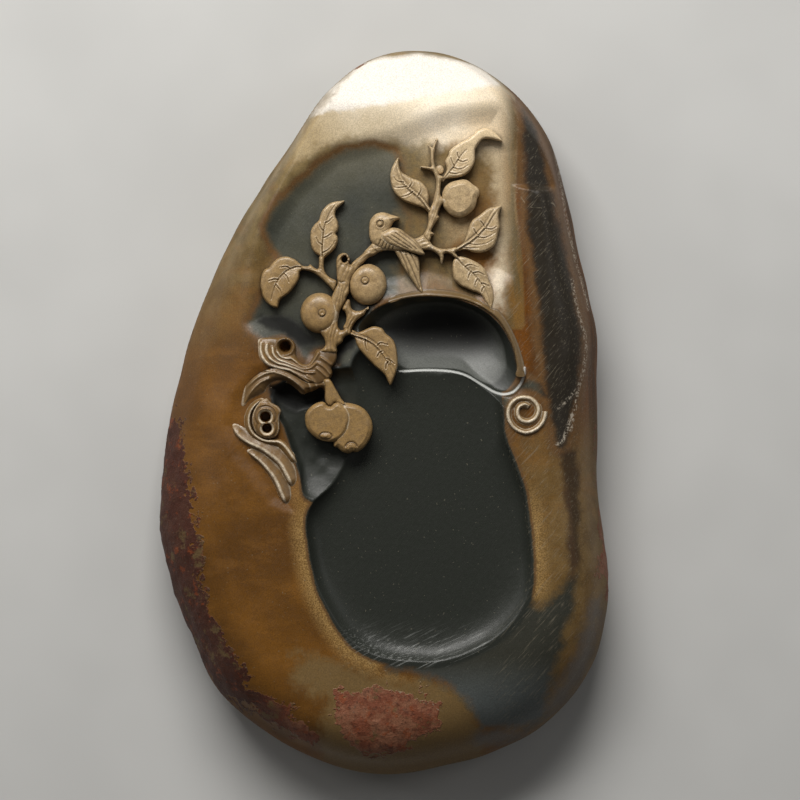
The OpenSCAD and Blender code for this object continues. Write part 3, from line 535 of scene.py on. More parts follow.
# Strokes of the breast, the wing and the tail
BREAST = [
    [(-1, 56.4), (-1.5, 55.1)],
    [(0, 55.7), (-0.5, 54.3)],
    [(1, 55.1), (0.5, 53.8)],
    [(2, 54.6), (1.6, 53.4)],
    [(3.1, 54.2), (2.8, 53.2)]
]
WING_LINES = [
    [(2.6, 58), (4.9, 56.5), (7.2, 54.9), (9.2, 53.6)],
    [(3.9, 58.7), (6.2, 57), (8.5, 55.2), (10.8, 53.3)],
    [(5.3, 59), (7.6, 57.5), (9.9, 55.7), (11.8, 53.6)],
    [(6.9, 58.7), (8.9, 57.4), (10.8, 55.7), (12.3, 53.4)],
    [(1.3, 57.5), (3.3, 56.1), (5.6, 54.7), (7.9, 53.6)]
]
TAIL_LINES = [
    [(5.4, 52.8), (6.6, 50), (7.7, 47.2), (8.4, 44.9)],
    [(8.7, 52.3), (9.9, 49.6), (11.3, 46.5)],
    [(7.2, 51.6), (9.5, 46.4), (11.8, 40.8)]
]
# Scroll: middle, and angle and distance of its crest
COIL_MID = (46.2, 0.7)
COIL = [
    (60, 1.7), (90, 2), (180, 2.45), (270, 3.45), (360, 4.3), (450, 4.45), (540, 5.6), (630, 7.1),
    (720, 6.6), (760, 6.3)
]


# Plane geometry
def rounded(points, step=0.6, closed=True):
    """Smooth curve through the points, cut about every step; further columns follow along."""
    p = np.array(points, float)
    if not closed:
        p = np.vstack([2 * p[0] - p[1], p, 2 * p[-1] - p[-2]])
    n = len(p)
    out = []
    for i in range(n) if closed else range(1, n - 2):
        a, b, c, d = (p[(i + k) % n] for k in (-1, 0, 1, 2))
        cuts = max(1, math.ceil(np.linalg.norm((c - b)[:2]) / step))
        for f in np.arange(cuts) / cuts:
            out.append(between(a, b, c, d, f))
    if not closed:
        out.append(p[-2])
    return np.array(out)


def between(a, b, c, d, f):
    """Smooth curve through four values, at the share f of the way from b to c."""
    return b + 0.5 * f * (c - a + f * (2 * a - 5 * b + 4 * c - d + f * (3 * (b - c) + d - a)))


def strand(line, step=1):
    """Smooth open curve through the points."""
    return rounded(line, step, closed=False)


def near(P, line):
    """Nearest place on a line: distance, offset to its left, run along it, and the place."""
    gap = np.full(len(P), 1e9)
    left, run, place = np.zeros(len(P)), np.zeros(len(P)), np.zeros((len(P), line.shape[1]))
    start = 0.0
    for a, b in zip(line[:-1], line[1:]):
        ab = b - a
        size = math.hypot(ab[0], ab[1])
        if size == 0:
            continue
        t = np.clip(((P - a[:2]) @ ab[:2]) / size ** 2, 0, 1)
        off = P - a[:2] - t[:, None] * ab[:2]
        d = np.hypot(off[:, 0], off[:, 1])
        closer = d < gap
        gap[closer] = d[closer]
        left[closer] = ((ab[0] * off[:, 1] - ab[1] * off[:, 0]) / size)[closer]
        run[closer] = start + t[closer] * size
        place[closer] = a + t[closer, None] * ab
        start += size
    return gap, left, run, place


def gap_to(P, line):
    """Distance to a line of straight pieces."""
    return near(P, np.array(line))[0]


def share_between(P, first, second):
    """From 0 on the first curve to 1 on the second, and the distances to both."""
    one, two = near(P, strand(first))[0], near(P, strand(second))[0]
    return one / (one + two + 1e-6), one, two


def away(P, x, y):
    """Distance to a point."""
    return np.hypot(P[:, 0] - x, P[:, 1] - y)


def looped(loop):
    return np.vstack([loop, loop[:1]])


def inside(P, loop):
    hit = np.zeros(len(P), bool)
    for a, b in zip(loop, np.roll(loop, -1, 0)):
        if a[1] != b[1]:
            over = (a[1] > P[:, 1]) != (b[1] > P[:, 1])
            hit ^= over & (P[:, 0] < (b[0] - a[0]) * (P[:, 1] - a[1]) / (b[1] - a[1]) + a[0])
    return hit


def depth_in(P, loop, reach=None):
    """Signed distance into a closed outline, no deeper outside than the reach where one is given."""
    loop = np.asarray(loop, float)
    out = np.full(len(P), -1e3 if reach is None else -float(reach))
    pick = np.ones(len(P), bool)
    if reach is not None:
        pick = np.all((P > loop.min(0) - reach) & (P < loop.max(0) + reach), 1)
    if pick.any():
        Q = P[pick]
        gap = near(Q, looped(loop))[0]
        out[pick] = np.where(inside(Q, loop), gap, -gap)
    return out if reach is None else np.maximum(out, -reach)


def deepest(P, loops):
    """Largest depth into any of the outlines, within the stored reach."""
    return np.max([depth_in(P, loop, REACH) for loop in loops], 0)


def ease(t):
    """Smooth step from 0 to 1."""
    t = np.clip(t, 0, 1)
    return t * t * (3 - 2 * t)


def hill(d, width):
    """Bell of height 1 round the distance 0."""
    return np.exp(-(d / width) ** 2)


TABLE = np.random.default_rng(7).uniform(-1, 1, (NOISE_CELLS, NOISE_CELLS))


def rough(P, size):
    """Smooth noise from -1 to 1 whose bumps are about a size wide."""
    q = P / size + 31.7
    i = np.floor(q).astype(int)
    f = ease(q - i)
    at = [[TABLE[tuple((i + (dx, dy)).T % NOISE_CELLS)] for dy in (0, 1)] for dx in (0, 1)]
    low = at[0][0] + f[:, 0] * (at[1][0] - at[0][0])
    high = at[0][1] + f[:, 0] * (at[1][1] - at[0][1])
    return low + f[:, 1] * (high - low)


def bearing(P):
    """Angle round the middle of the stone, in degrees."""
    return np.degrees(np.arctan2(P[:, 1], P[:, 0]))


def around(values, angle):
    """Value at each angle in degrees, from a list that goes once round."""
    v = np.array(values, float)
    u = (np.asarray(angle) % 360) * len(v) / 360
    i = np.floor(u).astype(int)
    return between(*(v[(i + k) % len(v)] for k in (-1, 0, 1, 2)), u - i)


# Heights of the stone
def skin(P):
    """Natural face of the stone, before anything is cut."""
    r, angle = np.hypot(P[:, 0], P[:, 1]), bearing(P)
    rim, w = around(OUTLINE, angle), around(SHOULDER, angle)
    s = np.clip((r - rim + w) / w, 0, 1)
    fall = FACE_H - FACE_FALL - BELLY_H
    domed = FACE_H - FACE_FALL * (r / rim) ** 2 - fall * (1 - (1 - s ** 2.2) ** 0.6)
    facet = FACE_H - CAP_DROP - CAP_SLOPE * (P[:, 1] - CAP_Y)
    ridge = SIDE_Z - SIDE_SLOPE * (P[:, 0] - SIDE_X)
    z = np.where(P[:, 1] > CAP_FROM, smaller(domed, facet, 1), domed)
    side = ridge + CAP_FROM * ease((CAP_FROM + 15 - P[:, 1]) / 15)
    z = np.where(P[:, 1] > CAP_FROM, smaller(z, side, 0.6), z)
    return z + (0.25 * rough(P, 17) + 0.12 * rough(P, 7)) * (1 - s ** 4)


def smaller(a, b, blend):
    """Lesser of two heights, with the edge between them rounded."""
    h = np.clip(0.5 + (b - a) / (2 * blend), 0, 1)
    return b + (a - b) * h - blend * h * (1 - h)


def bowl(P, rim, mid, floor, edge_low, power, power_low):
    """Hollow that sinks from its rim to its floor, steep where the power is high."""
    loop = rounded(rim, 1.5)
    mid = np.array(mid, float)
    angle = np.arctan2(*(loop - mid).T[::-1])
    order = np.argsort(angle)
    size = np.hypot(*(loop - mid).T)
    dx, dy = (P - mid).T
    r = np.maximum(np.hypot(dx, dy), 1e-6)
    turns = np.arctan2(dy, dx)
    R = np.interp(turns, angle[order], size[order], period=2 * np.pi)
    even = r / np.hypot(*np.array([dx, dy]) / (np.ptp(loop, 0) / 2)[:, None])
    R = even + (R - even) * ease(1.6 * r / R - 0.6)
    share = np.minimum(r / R, 1.35)
    down = ease(-1.6 * dy / r)
    down += (ease(0.5 - dy / 20) - down) * ease(2.2 - 2.4 * share)
    high = (RIM_Z - floor) * share ** power
    return floor + high + down * ((edge_low - floor) * share ** power_low - high)


def face(P):
    """Skin with the ground round the carving cut away."""
    depth = depth_in(P, GROUND_EDGE, 20)
    return skin(P) - GROUND_DEPTH * ease(0.5 + depth / GROUND_SLOPE)


LIP_LINE = strand(LIP, 0.8)


def top(P):
    """Upper surface of the slab."""
    z = face(P) - ROOT_DEPTH * ease(0.5 + depth_in(P, ROOT_GROUND, 4) / ROOT_SLOPE)
    dish = DISH_RISE * ease((DISH_Y - P[:, 1]) / DISH_RUN)
    hall = bowl(P, HALL_RIM, HALL_MID, HALL_Z, RIM_Z, *HALL_POWERS) + dish
    pool = bowl(P, POOL_RIM, POOL_MID, POOL_Z, HALL_Z, *POOL_POWERS)
    void = bowl(P, VOID_RIM, VOID_MID, VOID_Z, RIM_Z, *VOID_POWERS)
    z = smaller(z, hall, HALL_EDGE)
    z = smaller(z, void + 0.15 * rough(P, 3), VOID_EDGE)
    z -= POCKET_DEPTH * ease(depth_in(P, SHADOWS[0], 4) / 3)
    for x, y, r, _ in [UPPER_HOLE] + KNOT_HOLES:
        z -= HOLE_DEPTH * ease((r + 0.3 - away(P, x, y)) / 0.9)
    z = smaller(z, pool, POOL_EDGE)
    gap, _, _, place = near(P, LIP_LINE)
    return z + LIP_RISE * np.exp(-(gap / np.maximum(place[:, 2], 0.2)) ** 2.5)


# Meshes
def make(name, points, faces, values):
    """Object from points in millimetres, with named values at its points."""
    mesh = bpy.data.meshes.new(name)
    mesh.from_pydata((np.asarray(points) * MM).tolist(), [], [list(map(int, f)) for f in faces])
    for key, data in values.items():
        mesh.attributes.new(key, "FLOAT", "POINT").data.foreach_set(
            "value", np.asarray(data, np.float32))
    mesh.update()
    mesh.shade_smooth()
    obj = bpy.data.objects.new(name, mesh)
    bpy.context.scene.collection.objects.link(obj)
    return obj


def adapted(height, low, high, coarse, levels, slack, keep):
    """Points of a grid that is cut finer wherever the height bends."""
    low = np.array(low)
    count = np.ceil((np.array(high) - low) / coarse).astype(int)
    size = 2 ** levels
    cells = np.stack(np.meshgrid(*(np.arange(c) for c in count), indexing="ij"), -1)
    cells = cells.reshape(-1, 2) * size
    unit = coarse / size
    done = []
    marks = np.array([(0, 0), (2, 0), (0, 2), (2, 2), (1, 1), (1, 0), (0, 1), (1, 2), (2, 1)])
    corners = (marks[:4] // 2)[None]
    while size >= 1 and len(cells):
        at = cells[:, None, :] + marks[None] * size / 2
        z = height((low + at * unit).reshape(-1, 2)).reshape(-1, 9)
        a, b, c, d = z[:, :4].T
        flat = np.stack([(a + b + c + d) / 4, (a + b) / 2, (a + c) / 2, (c + d) / 2,
                         (b + d) / 2], 1)
        bent = np.abs(z[:, 4:] - flat).max(1) > slack
        wanted = keep(low + (cells + size / 2) * unit)
        cells, bent = cells[wanted], bent[wanted]
        stop = ~bent if size > 1 else np.ones(len(cells), bool)
        done.append((cells[stop][:, None, :] + corners * size).reshape(-1, 2))
        size //= 2
        cells = (cells[~stop][:, None, :] + corners * size).reshape(-1, 2)
    return low + np.unique(np.vstack(done), axis=0) * unit


def normals_of(points, faces):
    """Outward direction at each point of a mesh."""
    mesh = bpy.data.meshes.new("tmp")
    mesh.from_pydata(points.tolist(), [], faces)
    normals = np.zeros(len(points) * 3)
    mesh.vertices.foreach_get("normal", normals)
    bpy.data.meshes.remove(mesh)
    return normals.reshape(-1, 3)


def slab_top(way, rim, w):
    """Points and triangles of the slab's upper side, and the places of the widest line."""
    rings = [way * (rim - w * (1 - s))[:, None] for s in RING_SHARES]

    def keep(P):
        angle = bearing(P)
        return np.hypot(*P.T) < around(OUTLINE, angle) - around(SHOULDER, angle) - 0.5

    inner = adapted(top, SLAB_LOW, SLAB_HIGH, SLAB_GRID, SLAB_LEVELS, SLAB_SLACK, keep)
    flat = np.vstack(rings + [inner[keep(inner)]])
    out = delaunay_2d_cdt([Vector(p) for p in flat], [], [], 0, 1e-7)
    order = np.array([o[0] for o in out[3]])
    P = flat[order]
    back = np.empty(len(order), int)
    back[order] = np.arange(len(order))
    tris = np.array(out[2])
    mid = P[tris].mean(1)
    tris = tris[np.hypot(*mid.T) < around(OUTLINE, bearing(mid))]
    a, b, c = (P[tris[:, k]] for k in range(3))
    turned = np.cross(b - a, c - a) < 0
    tris[turned] = tris[turned][:, ::-1]
    return P, tris, back[:len(way)]


def build_slab():
    turn = np.arange(SPOKES) * 360 / SPOKES
    way = np.stack([np.cos(np.radians(turn)), np.sin(np.radians(turn))], 1)
    rim = around(OUTLINE, turn)
    P, tris, upper = slab_top(way, rim, around(SHOULDER, turn))
    z = top(P)
    z[upper] = BELLY_H
    points, faces, cut = np.column_stack([P, z]), tris.tolist(), skin(P) - z
    for out_share, up_share in strand(UNDER, 0.07)[1:]:
        ring = way * (rim - FOOT_INSET * (1 - out_share))[:, None]
        lower = len(points) + np.arange(SPOKES)
        points = np.vstack([points, np.column_stack([ring, np.full(SPOKES, BELLY_H * up_share)])])
        faces += np.column_stack([upper, lower, np.roll(lower, -1), np.roll(upper, -1)]).tolist()
        upper = lower
    points = np.vstack([points, [(0, 0, 0)]])
    faces += [(len(points) - 1, b, a) for a, b in zip(upper, np.roll(upper, -1))]

    crust = deepest(points[:, :2], CRUST)
    flat = points[:, :2] + points[:, 2:] * (0.6, -0.5)
    lift = np.clip(crust / 3, 0, 1) * (0.26 * rough(flat, 3.1) + 0.16 * rough(flat, 1.4))
    side = ease((BELLY_H + 12 - points[:, 2]) / 12) * (0.5 * rough(flat, 21) + 0.2 * rough(flat, 9))
    lift = np.where(points[:, 2] < 0.01, 0, lift + side * (points[:, 2] < 30))
    points = points + normals_of(points, faces) * lift[:, None]
    points[:, 2] = np.maximum(points[:, 2], 0)

    P = points[:, :2]
    # The dark zone takes in SCROLL_SHADE and the first of SHADOWS, painted shade laid on as slate
    zones = {"dark": [DARK_GROUND, SCROLL_SHADE, SHADOWS[0]], "mid": [MID_GROUND],
             "band": [RIGHT_BAND], "cap": [CAP], "low": [LOW_BAND], "olive": [OLIVE],
             "pale": [PALE], "stripe": [STRIPE], "edge_grey": [EDGE_GREY]}
    values = {key: deepest(P, loops) for key, loops in zones.items()}
    values["crust"] = crust
    values["shadow"] = deepest(P, SHADOWS)
    values["hollow"] = deepest(P, [rounded(r, 1.5) for r in (HALL_RIM, POOL_RIM, VOID_RIM)])
    values["cut"] = np.concatenate([cut, np.zeros(len(points) - len(cut))])
    for key, lines in {"chip": CHIPS, "crack": CRACKS, "lip": [LIP]}.items():
        gaps = [near(P, strand(line, 1.5))[0] for line in lines]
        values[key] = np.minimum(np.min(gaps, 0), LINE_REACH)
    return make("slab", points, faces, values)


def ring_of(x, y, rx, ry, count=32):
    a = np.arange(count) * 2 * np.pi / count
    return np.column_stack([x + rx * np.cos(a), y + ry * np.sin(a)])


def band(line, taper):
    """Outline of a strand along a line of (x, y, half width), pointed at both ends."""
    p = strand(line, 0.7)
    way = np.gradient(p[:, :2], axis=0)
    way /= np.linalg.norm(way, axis=1)[:, None]
    run = np.concatenate([[0], np.cumsum(np.hypot(*np.diff(p[:, :2], axis=0).T))])
    w = p[:, 2] * np.sqrt(np.clip(np.minimum(run, run[-1] - run) / taper, 0.02, 1))
    side = np.column_stack([-way[:, 1], way[:, 0]]) * w[:, None]
    return np.vstack([p[:, :2] + side, (p[:, :2] - side)[::-1]])


def sheet(outline, shape, holes=(), step=0.18, smooth=True):
    """Carved form: its top inside the outline, and a wall from its edge down into the slab.

    The shape gives the height at places and depths in the outline, and a groove value: painted shade
    and dust in the grooves where it is positive, painted highlight on crests where it is negative.
    """
    loops = [rounded(outline) if smooth else np.array(outline, float), *holes]

    def depth(P):
        return np.min([depth_in(P, loops[0])] + [-depth_in(P, hole) for hole in loops[1:]], 0)

    low, high = loops[0].min(0) - step, loops[0].max(0) + step
    nx, ny = np.ceil((high - low) / step).astype(int) + 1
    grid = np.stack(np.meshgrid(np.arange(nx), np.arange(ny), indexing="ij"), -1).reshape(-1, 2)
    P = low + grid * step
    good = (depth(P) > 0.2 * step).reshape(nx, ny)
    i, j = np.nonzero(good[:-1, :-1] & good[1:, :-1] & good[1:, 1:] & good[:-1, 1:])
    quads = np.column_stack([i * ny + j, (i + 1) * ny + j, (i + 1) * ny + j + 1, i * ny + j + 1])
    used, quads = np.unique(quads, return_inverse=True)
    quads = quads.reshape(-1, 4)
    P = P[used]
    edges = np.vstack([quads[:, [k, (k + 1) % 4]] for k in range(4)])
    rim = edges[~np.isin(edges @ (len(P), 1), edges @ (1, len(P)))]
    on_rim = np.unique(rim)
    spots = [near(P[on_rim], looped(loop)) for loop in loops]
    best = np.argmin([s[0] for s in spots], 0)
    P[on_rim] = np.array([spots[b][3][k][:2] for k, b in enumerate(best)])
    d = depth(P)
    d[on_rim] = 0
    z, groove = shape(P, np.maximum(d, 0))
    floor = top(P[on_rim]) - WALL_DEPTH
    z[on_rim] = np.maximum(z[on_rim], floor + WALL_LEAST)
    place = np.full(len(P), -1)
    place[on_rim] = np.arange(len(on_rim))
    points, faces = [np.column_stack([P, z])], quads.tolist()
    upper, count = rim, len(P)
    for share in WALL_ROWS:
        row = z[on_rim] + (floor - z[on_rim]) * share
        points.append(np.column_stack([P[on_rim], row]))
        lower = count + place[rim]
        faces += np.column_stack([upper[:, 1], upper[:, 0], lower[:, 0], lower[:, 1]]).tolist()
        upper, count = lower, count + len(on_rim)
    walls = len(WALL_ROWS) * len(on_rim)
    return np.vstack(points), faces, np.concatenate([groove, np.zeros(walls)])


def dress(obj, node, look):
    obj.data.materials.append(look)
    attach(obj, "root")
    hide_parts(node)


def carve(name, sheets, look, node=None):
    """One piece from one or more sheets, which stands for a node of the part."""
    faces, count = [], 0
    for points, quads, _ in sheets:
        faces += [[k + count for k in quad] for quad in quads]
        count += len(points)
    # Groove value: painted shade and dust where positive, painted highlight where negative
    groove = np.concatenate([s[2] for s in sheets])
    obj = make(name + "_carved", np.vstack([s[0] for s in sheets]), faces, {"groove": groove})
    obj.data.set_sharp_from_angle(angle=math.radians(CARVED_SHARP))
    dress(obj, node or name, look)
    return obj


# Carved profiles
def swell(d, rise, height, width, edge=0.5):
    """Height over the skin of a form with a rounded edge and a full middle."""
    return rise - edge * np.exp(-d / 0.16) + height * (1 - np.exp(-d / width))


def leaf_shape(rib, veins, rise, ridge):
    """Leaf whose rib stands up as a ridge or is cut as a groove."""
    rib = strand(rib, 0.7)
    veins = [strand(v, 0.6) for v in veins]
    length = near(rib[-1:, :2], rib)[2][0]

    def shape(P, d):
        gap, left, run, _ = near(P, rib)
        fade = 1 - 0.6 * (run / length)
        z = skin(P) + swell(d, rise - 0.5, 0.75, 0.35)
        z -= 0.4 * hill(gap, 1.7) * fade
        if ridge:
            z += 0.6 * hill(gap, 0.3) * fade
            z -= 0.3 * (hill(left - 0.6, 0.22) + hill(left + 0.6, 0.22)) * fade
        else:
            z -= 0.45 * hill(gap, 0.22) * fade
        groove = hill(np.abs(left) - 0.6 if ridge else gap, 0.2) * 0.9 * fade
        crest = hill(gap if ridge else gap - 0.45, 0.2) * fade
        for vein in veins:
            g, _, r, _ = near(P, vein)
            end = 1 - ease(r / 5.5) * 0.7
            z -= 0.3 * hill(g, 0.17) * end
            z += 0.14 * hill(g - 0.4, 0.22) * end
            groove = np.maximum(groove, 0.9 * hill(g, 0.16) * end)
            crest = np.maximum(crest, hill(g - 0.4, 0.16) * end)
        # Groove value: painted shade in the grooves of rib and veins, painted highlight on their crests
        return z + 0.05 * rough(P, 1.6), np.where(groove > 0.15, groove, -0.8 * crest)

    return shape


def fruit_shape(rise, eye):
    """Persimmon: a full disc with a nub in a shallow dimple."""
    def shape(P, d):
        g = away(P, *eye)
        z = skin(P) + swell(d, rise - 2.2, 2.6, 1.3)
        z -= 0.45 * hill(g, 1.68)
        z += 0.62 * ease((1.15 - g) / 0.35)
        z -= 0.15 * hill(g, 0.4)
        return z + 0.05 * rough(P, 2), 0.9 * hill(g - 1.25, 0.22)

    return shape


def faceted(rise, bevel, drop, marks=None):
    """Fruit with a flat face inside a bevel."""
    def shape(P, d):
        slope = np.maximum(bevel - d, 0)
        z = skin(P) + rise - drop * slope / bevel - 0.4 * np.exp(-d / 0.2) + 0.05 * rough(P, 1.5)
        cut, groove = marks(P) if marks else (0, np.zeros(len(P)))
        return z + cut, groove

    return shape


def bark_shape(rise, line, height=0.9, width=0.9, pitch=1.3, depth=0.16):
    """Branch with long grooves that follow its line."""
    line = strand(line)

    def shape(P, d):
        _, left, run, _ = near(P, line)
        wander = rough(np.column_stack([run, left * 2]), 4)
        wave = np.sin(2 * np.pi * (left / pitch + 0.5 * wander))
        strength = depth * (0.5 + 0.5 * rough(np.column_stack([run, left]) + 50, 3))
        z = skin(P) + swell(d, rise - 0.5, height, width) + strength * wave
        return z + 0.08 * rough(P, 1.2), np.clip(-wave, 0, 1) * 0.35

    return shape


def feather_shape(rise, height, lines, deep):
    def shape(P, d):
        cut = ridges(P, lines, 0.2)
        return skin(P) + swell(d, rise, height, 0.8) - deep * cut, 0.75 * cut

    return shape


def ridges(P, lines, width):
    """Ridges along the lines, 1 high."""
    return np.max([hill(near(P, strand(line, 0.8))[0], width) for line in lines], 0)


# Materials
class Look:
    """Material whose nodes work on object coordinates; sizes are given in millimetres."""

    def __init__(self, name):
        self.material = bpy.data.materials.new(name)
        self.material.use_nodes = True
        self.nodes = self.material.node_tree.nodes
        self.link = self.material.node_tree.links.new
        self.shader = self.nodes["Principled BSDF"]
        self.place = self.nodes.new("ShaderNodeTexCoord").outputs["Object"]

    def put(self, value, socket):
        if hasattr(value, "links"):
            self.link(value, socket)
        else:
            socket.default_value = value

    def node(self, kind, inputs, **settings):
        """New node of a kind, with its settings and inputs filled in."""
        node = self.nodes.new("ShaderNode" + kind)
        for key, value in settings.items():
            setattr(node, key, value)
        for key, value in inputs.items():
            self.put(value, node.inputs[key])
        return node

    def finish(self, color, roughness, normal, specular):
        self.link(color, self.shader.inputs["Base Color"])
        self.link(roughness, self.shader.inputs["Roughness"])
        self.link(normal, self.shader.inputs["Normal"])
        self.shader.inputs["Specular IOR Level"].default_value = specular
        return self.material

    def noise(self, size, detail=3, roughness=0.55, stretch=None, turn=0):
        place = self.place
        if stretch:
            place = self.node("Mapping", {"Vector": place}, vector_type="TEXTURE")
            place.inputs["Scale"].default_value = [1 / v for v in stretch]
            place.inputs["Rotation"].default_value = (0, 0, math.radians(turn))
            place = place.outputs["Vector"]
        return self.node("TexNoise", {"Vector": place, "Scale": 1 / (size * MM), "Detail": detail,
                                      "Roughness": roughness}).outputs["Fac"]

    def value(self, name):
        """Named value that build_slab or sheet wrote at the points."""
        return self.node("Attribute", {}, attribute_name=name).outputs["Fac"]

    def axis(self, k):
        """Place along one axis, in metres."""
        return self.node("SeparateXYZ", {0: self.place}).outputs[k]

    def calc(self, how, a, b=0.0, c=0.0):
        return self.node("Math", {0: a, 1: b, 2: c}, operation=how).outputs[0]

    def times(self, a, b):
        return self.calc("MULTIPLY", a, b)

    def most(self, a, b):
        return self.calc("MAXIMUM", a, b)

    def add(self, a, factor, b):
        """The first value times the factor, plus the second."""
        return self.calc("MULTIPLY_ADD", a, factor, b)

    def ramp(self, value, low, high, to=(0, 1)):
        return self.node("MapRange", {"Value": value, "From Min": low, "From Max": high,
                                      "To Min": to[0], "To Max": to[1]},
                         interpolation_type="SMOOTHSTEP").outputs["Result"]

    def mix(self, share, a, b):
        """Colour a where the share is 0, colour b where it is 1."""
        return self.node("Mix", {"Factor": share, 6: shade(a), 7: shade(b)},
                         data_type="RGBA", blend_type="MIX").outputs[2]

    def tones(self, noise, a, b, spread=0.15):
        """Two colours that alternate with a noise."""
        return self.mix(self.ramp(noise, 0.5 - spread, 0.5 + spread), a, b)

    def closeness(self, distance, inside=False):
        """From 0 in the open to 1 deep in a corner, or on a sharp edge if inside."""
        node = self.node("AmbientOcclusion", {"Distance": distance * MM}, inside=inside, samples=8)
        return self.calc("SUBTRACT", 1.0, node.outputs["AO"])

    def bump(self, height, strength, distance, base=None):
        inputs = {"Strength": strength, "Distance": distance * MM, "Height": height}
        if base:
            inputs["Normal"] = base
        return self.node("Bump", inputs).outputs["Normal"]


def shade(color):
    """Colour as it is seen, from 0 to 255, as the shader takes it; a socket stays as it is."""
    if not isinstance(color, tuple):
        return color
    return tuple(c / 255 / 12.92 if c < 10.3 else ((c / 255 + 0.055) / 1.055) ** 2.4
                 for c in color) + (1,)


# Spots of the crust: noise size and roughness, limits, share and colour
CRUST_SPOTS = [(1.8, 0.7, 0.52, 0.66, 0.55, (58, 24, 15)), (4, 0.75, 0.56, 0.64, 0.6, (141, 67, 26)),
               (7, 0.7, 0.57, 0.66, 0.8, (105, 85, 51))]


class StoneLook(Look):
    """Layered stone: golden skin over dark slate, with rust-red crust at the edge."""

    def __init__(self):
        super().__init__("layered stone")
        self.x, self.y, self.z = (self.axis(k) for k in range(3))
        self.broad, self.middle = self.noise(24, 3), self.noise(7, 4)
        self.small, self.grain = self.noise(1.6, 3), self.noise(0.4, 2)
        self.shift = self.calc("ADD", self.ramp(self.middle, 0.2, 0.8, (-1.6, 1.6)),
                               self.ramp(self.small, 0.2, 0.8, (-0.7, 0.7)))
        self.streak = self.ramp(self.noise(6, 3, 0.6, (1, 0.14, 1), 6), 0.4, 0.6)
        self.deep, self.hollow = self.value("cut"), self.value("hollow")

    def zone(self, name, soft, ragged):
        """Share of a patch of colour, whose edge wanders with the noise."""
        return self.ramp(self.add(self.shift, ragged, self.value(name)), -soft, soft)

    def pale_cap_with_highlight(self):
        """Pale worn stone at the pool end, brightened with a painted highlight: patches by place, then
        the bevel of the far edge, above which a whiter painted highlight lies.
        """
        x, y = self.x, self.y
        left = self.mix(self.ramp(x, -0.026, -0.01),
                        self.tones(self.broad, (196, 175, 136), (174, 152, 112)),
                        self.tones(self.broad, (224, 209, 183), (202, 184, 151)))
        middle = self.mix(self.times(self.ramp(x, -0.005, 0.012), self.ramp(y, 0.06, 0.08)), left,
                          self.tones(self.broad, (252, 242, 224), (234, 218, 190)))
        right = self.mix(self.ramp(y, 0.08, 0.095), (190, 170, 136), (226, 208, 178))
        flat = self.mix(self.times(self.ramp(x, 0.02, 0.034), self.ramp(y, 0.04, 0.07)),
                        middle, right)
        # Painted highlight: the cap is whitened above the line of its bevel
        bevel = self.add(self.shift, 0.0006, self.add(x, -0.16, y))
        return self.mix(self.ramp(bevel, 0.1, 0.1022), flat, (238, 230, 218))

    def golden_skin(self):
        x, y = self.x, self.y
        color = self.tones(self.broad, (121, 80, 27), (98, 64, 23))
        grey = self.most(self.ramp(self.add(x, -0.4, y), 0.03, 0.085),
                         self.ramp(x, 0.03, 0.055, (0, 0.6)))
        color = self.mix(grey, color, self.tones(self.middle, (132, 112, 73), (105, 87, 51)))
        cloud = self.noise(14, 4, 0.6, (1, 2.5, 1))
        color = self.mix(self.ramp(cloud, 0.5, 0.7, (0, 0.3)), color, (141, 96, 40))
        # Pale stone of the cap, with its painted highlight, on the upper face
        upper = self.ramp(self.add(self.shift, 0.002, self.z), 0.018, 0.026)
        pale = self.times(self.times(self.zone("pale", 3, 1.2), self.zone("cap", 1.2, 0.3)), upper)
        color = self.mix(pale, color, self.pale_cap_with_highlight())
        color = self.mix(self.zone("olive", 3, 1.5), color, (123, 98, 60))
        aside = self.times(self.ramp(x, 0.036, 0.044), self.ramp(y, -0.02, 0.01))
        color = self.mix(self.times(aside, self.zone("cap", 1.2, 0.3)), color,
                         self.mix(self.streak, (126, 92, 42), (98, 82, 50)))
        color = self.mix(self.times(aside, self.ramp(self.value("cap"), 0.5, -0.5)), color,
                         self.mix(self.streak, (112, 66, 12), (80, 48, 10)))
        gold = self.times(self.ramp(self.hollow, -6.5, -1, (0, 0.8)), self.ramp(y, -0.015, -0.04))
        gold = self.times(gold, self.ramp(self.value("low"), -4, 0, (1, 0)))
        return self.mix(gold, color, self.tones(self.grain, (177, 143, 89), (134, 103, 56)))

    def slate(self):
        """Dark stone, darker in the hollows and darkest at the bottom of the pool from painted shade,
        with a painted sheen on the pool's slope below the lip.
        """
        y = self.y
        color = self.tones(self.broad, (76, 76, 64), (62, 64, 57))
        color = self.mix(self.ramp(y, 0.068, 0.088), color, (103, 100, 85))
        color = self.mix(self.ramp(self.value("low"), -2, 1), color,
                         self.mix(self.ramp(y, -0.078, -0.096), (58, 58, 50), (86, 91, 90)))
        # Painted shade: darker in the hollows
        color = self.mix(self.ramp(self.hollow, -1, 0.5), color, (44, 47, 42))
        # Painted sheen where the pool falls away below the lip
        color = self.mix(self.ramp(self.deep, 6.6, 8.4), color, (82, 84, 80))
        # Painted shade, darkest at the bottom of the pool
        color = self.mix(self.ramp(self.deep, 8.6, 13.2), color, (16, 17, 16))
        # Painted reflection on the pool's slope near the lip
        painted_sheen = self.times(self.ramp(self.value("lip"), 14, 0.5, (0, 0.75)),
                          self.ramp(self.deep, 6.6, 7.4))
        color = self.mix(painted_sheen, color, (112, 114, 110))
        return self.mix(self.ramp(self.value("band"), -2, 1), color, (42, 36, 27))

    def crust_tone(self):
        color = self.mix(self.ramp(self.noise(6, 4, 0.7), 0.42, 0.58), (144, 96, 70), (128, 72, 48))
        color = self.mix(self.ramp(self.x, -0.045, -0.025, (0.85, 0)), color, (54, 20, 8))
        for size, rugged, low, high, share, tone in CRUST_SPOTS:
            spots = self.ramp(self.noise(size, 4, rugged), low, high, (0, share))
            color = self.mix(spots, color, tone)
        return color

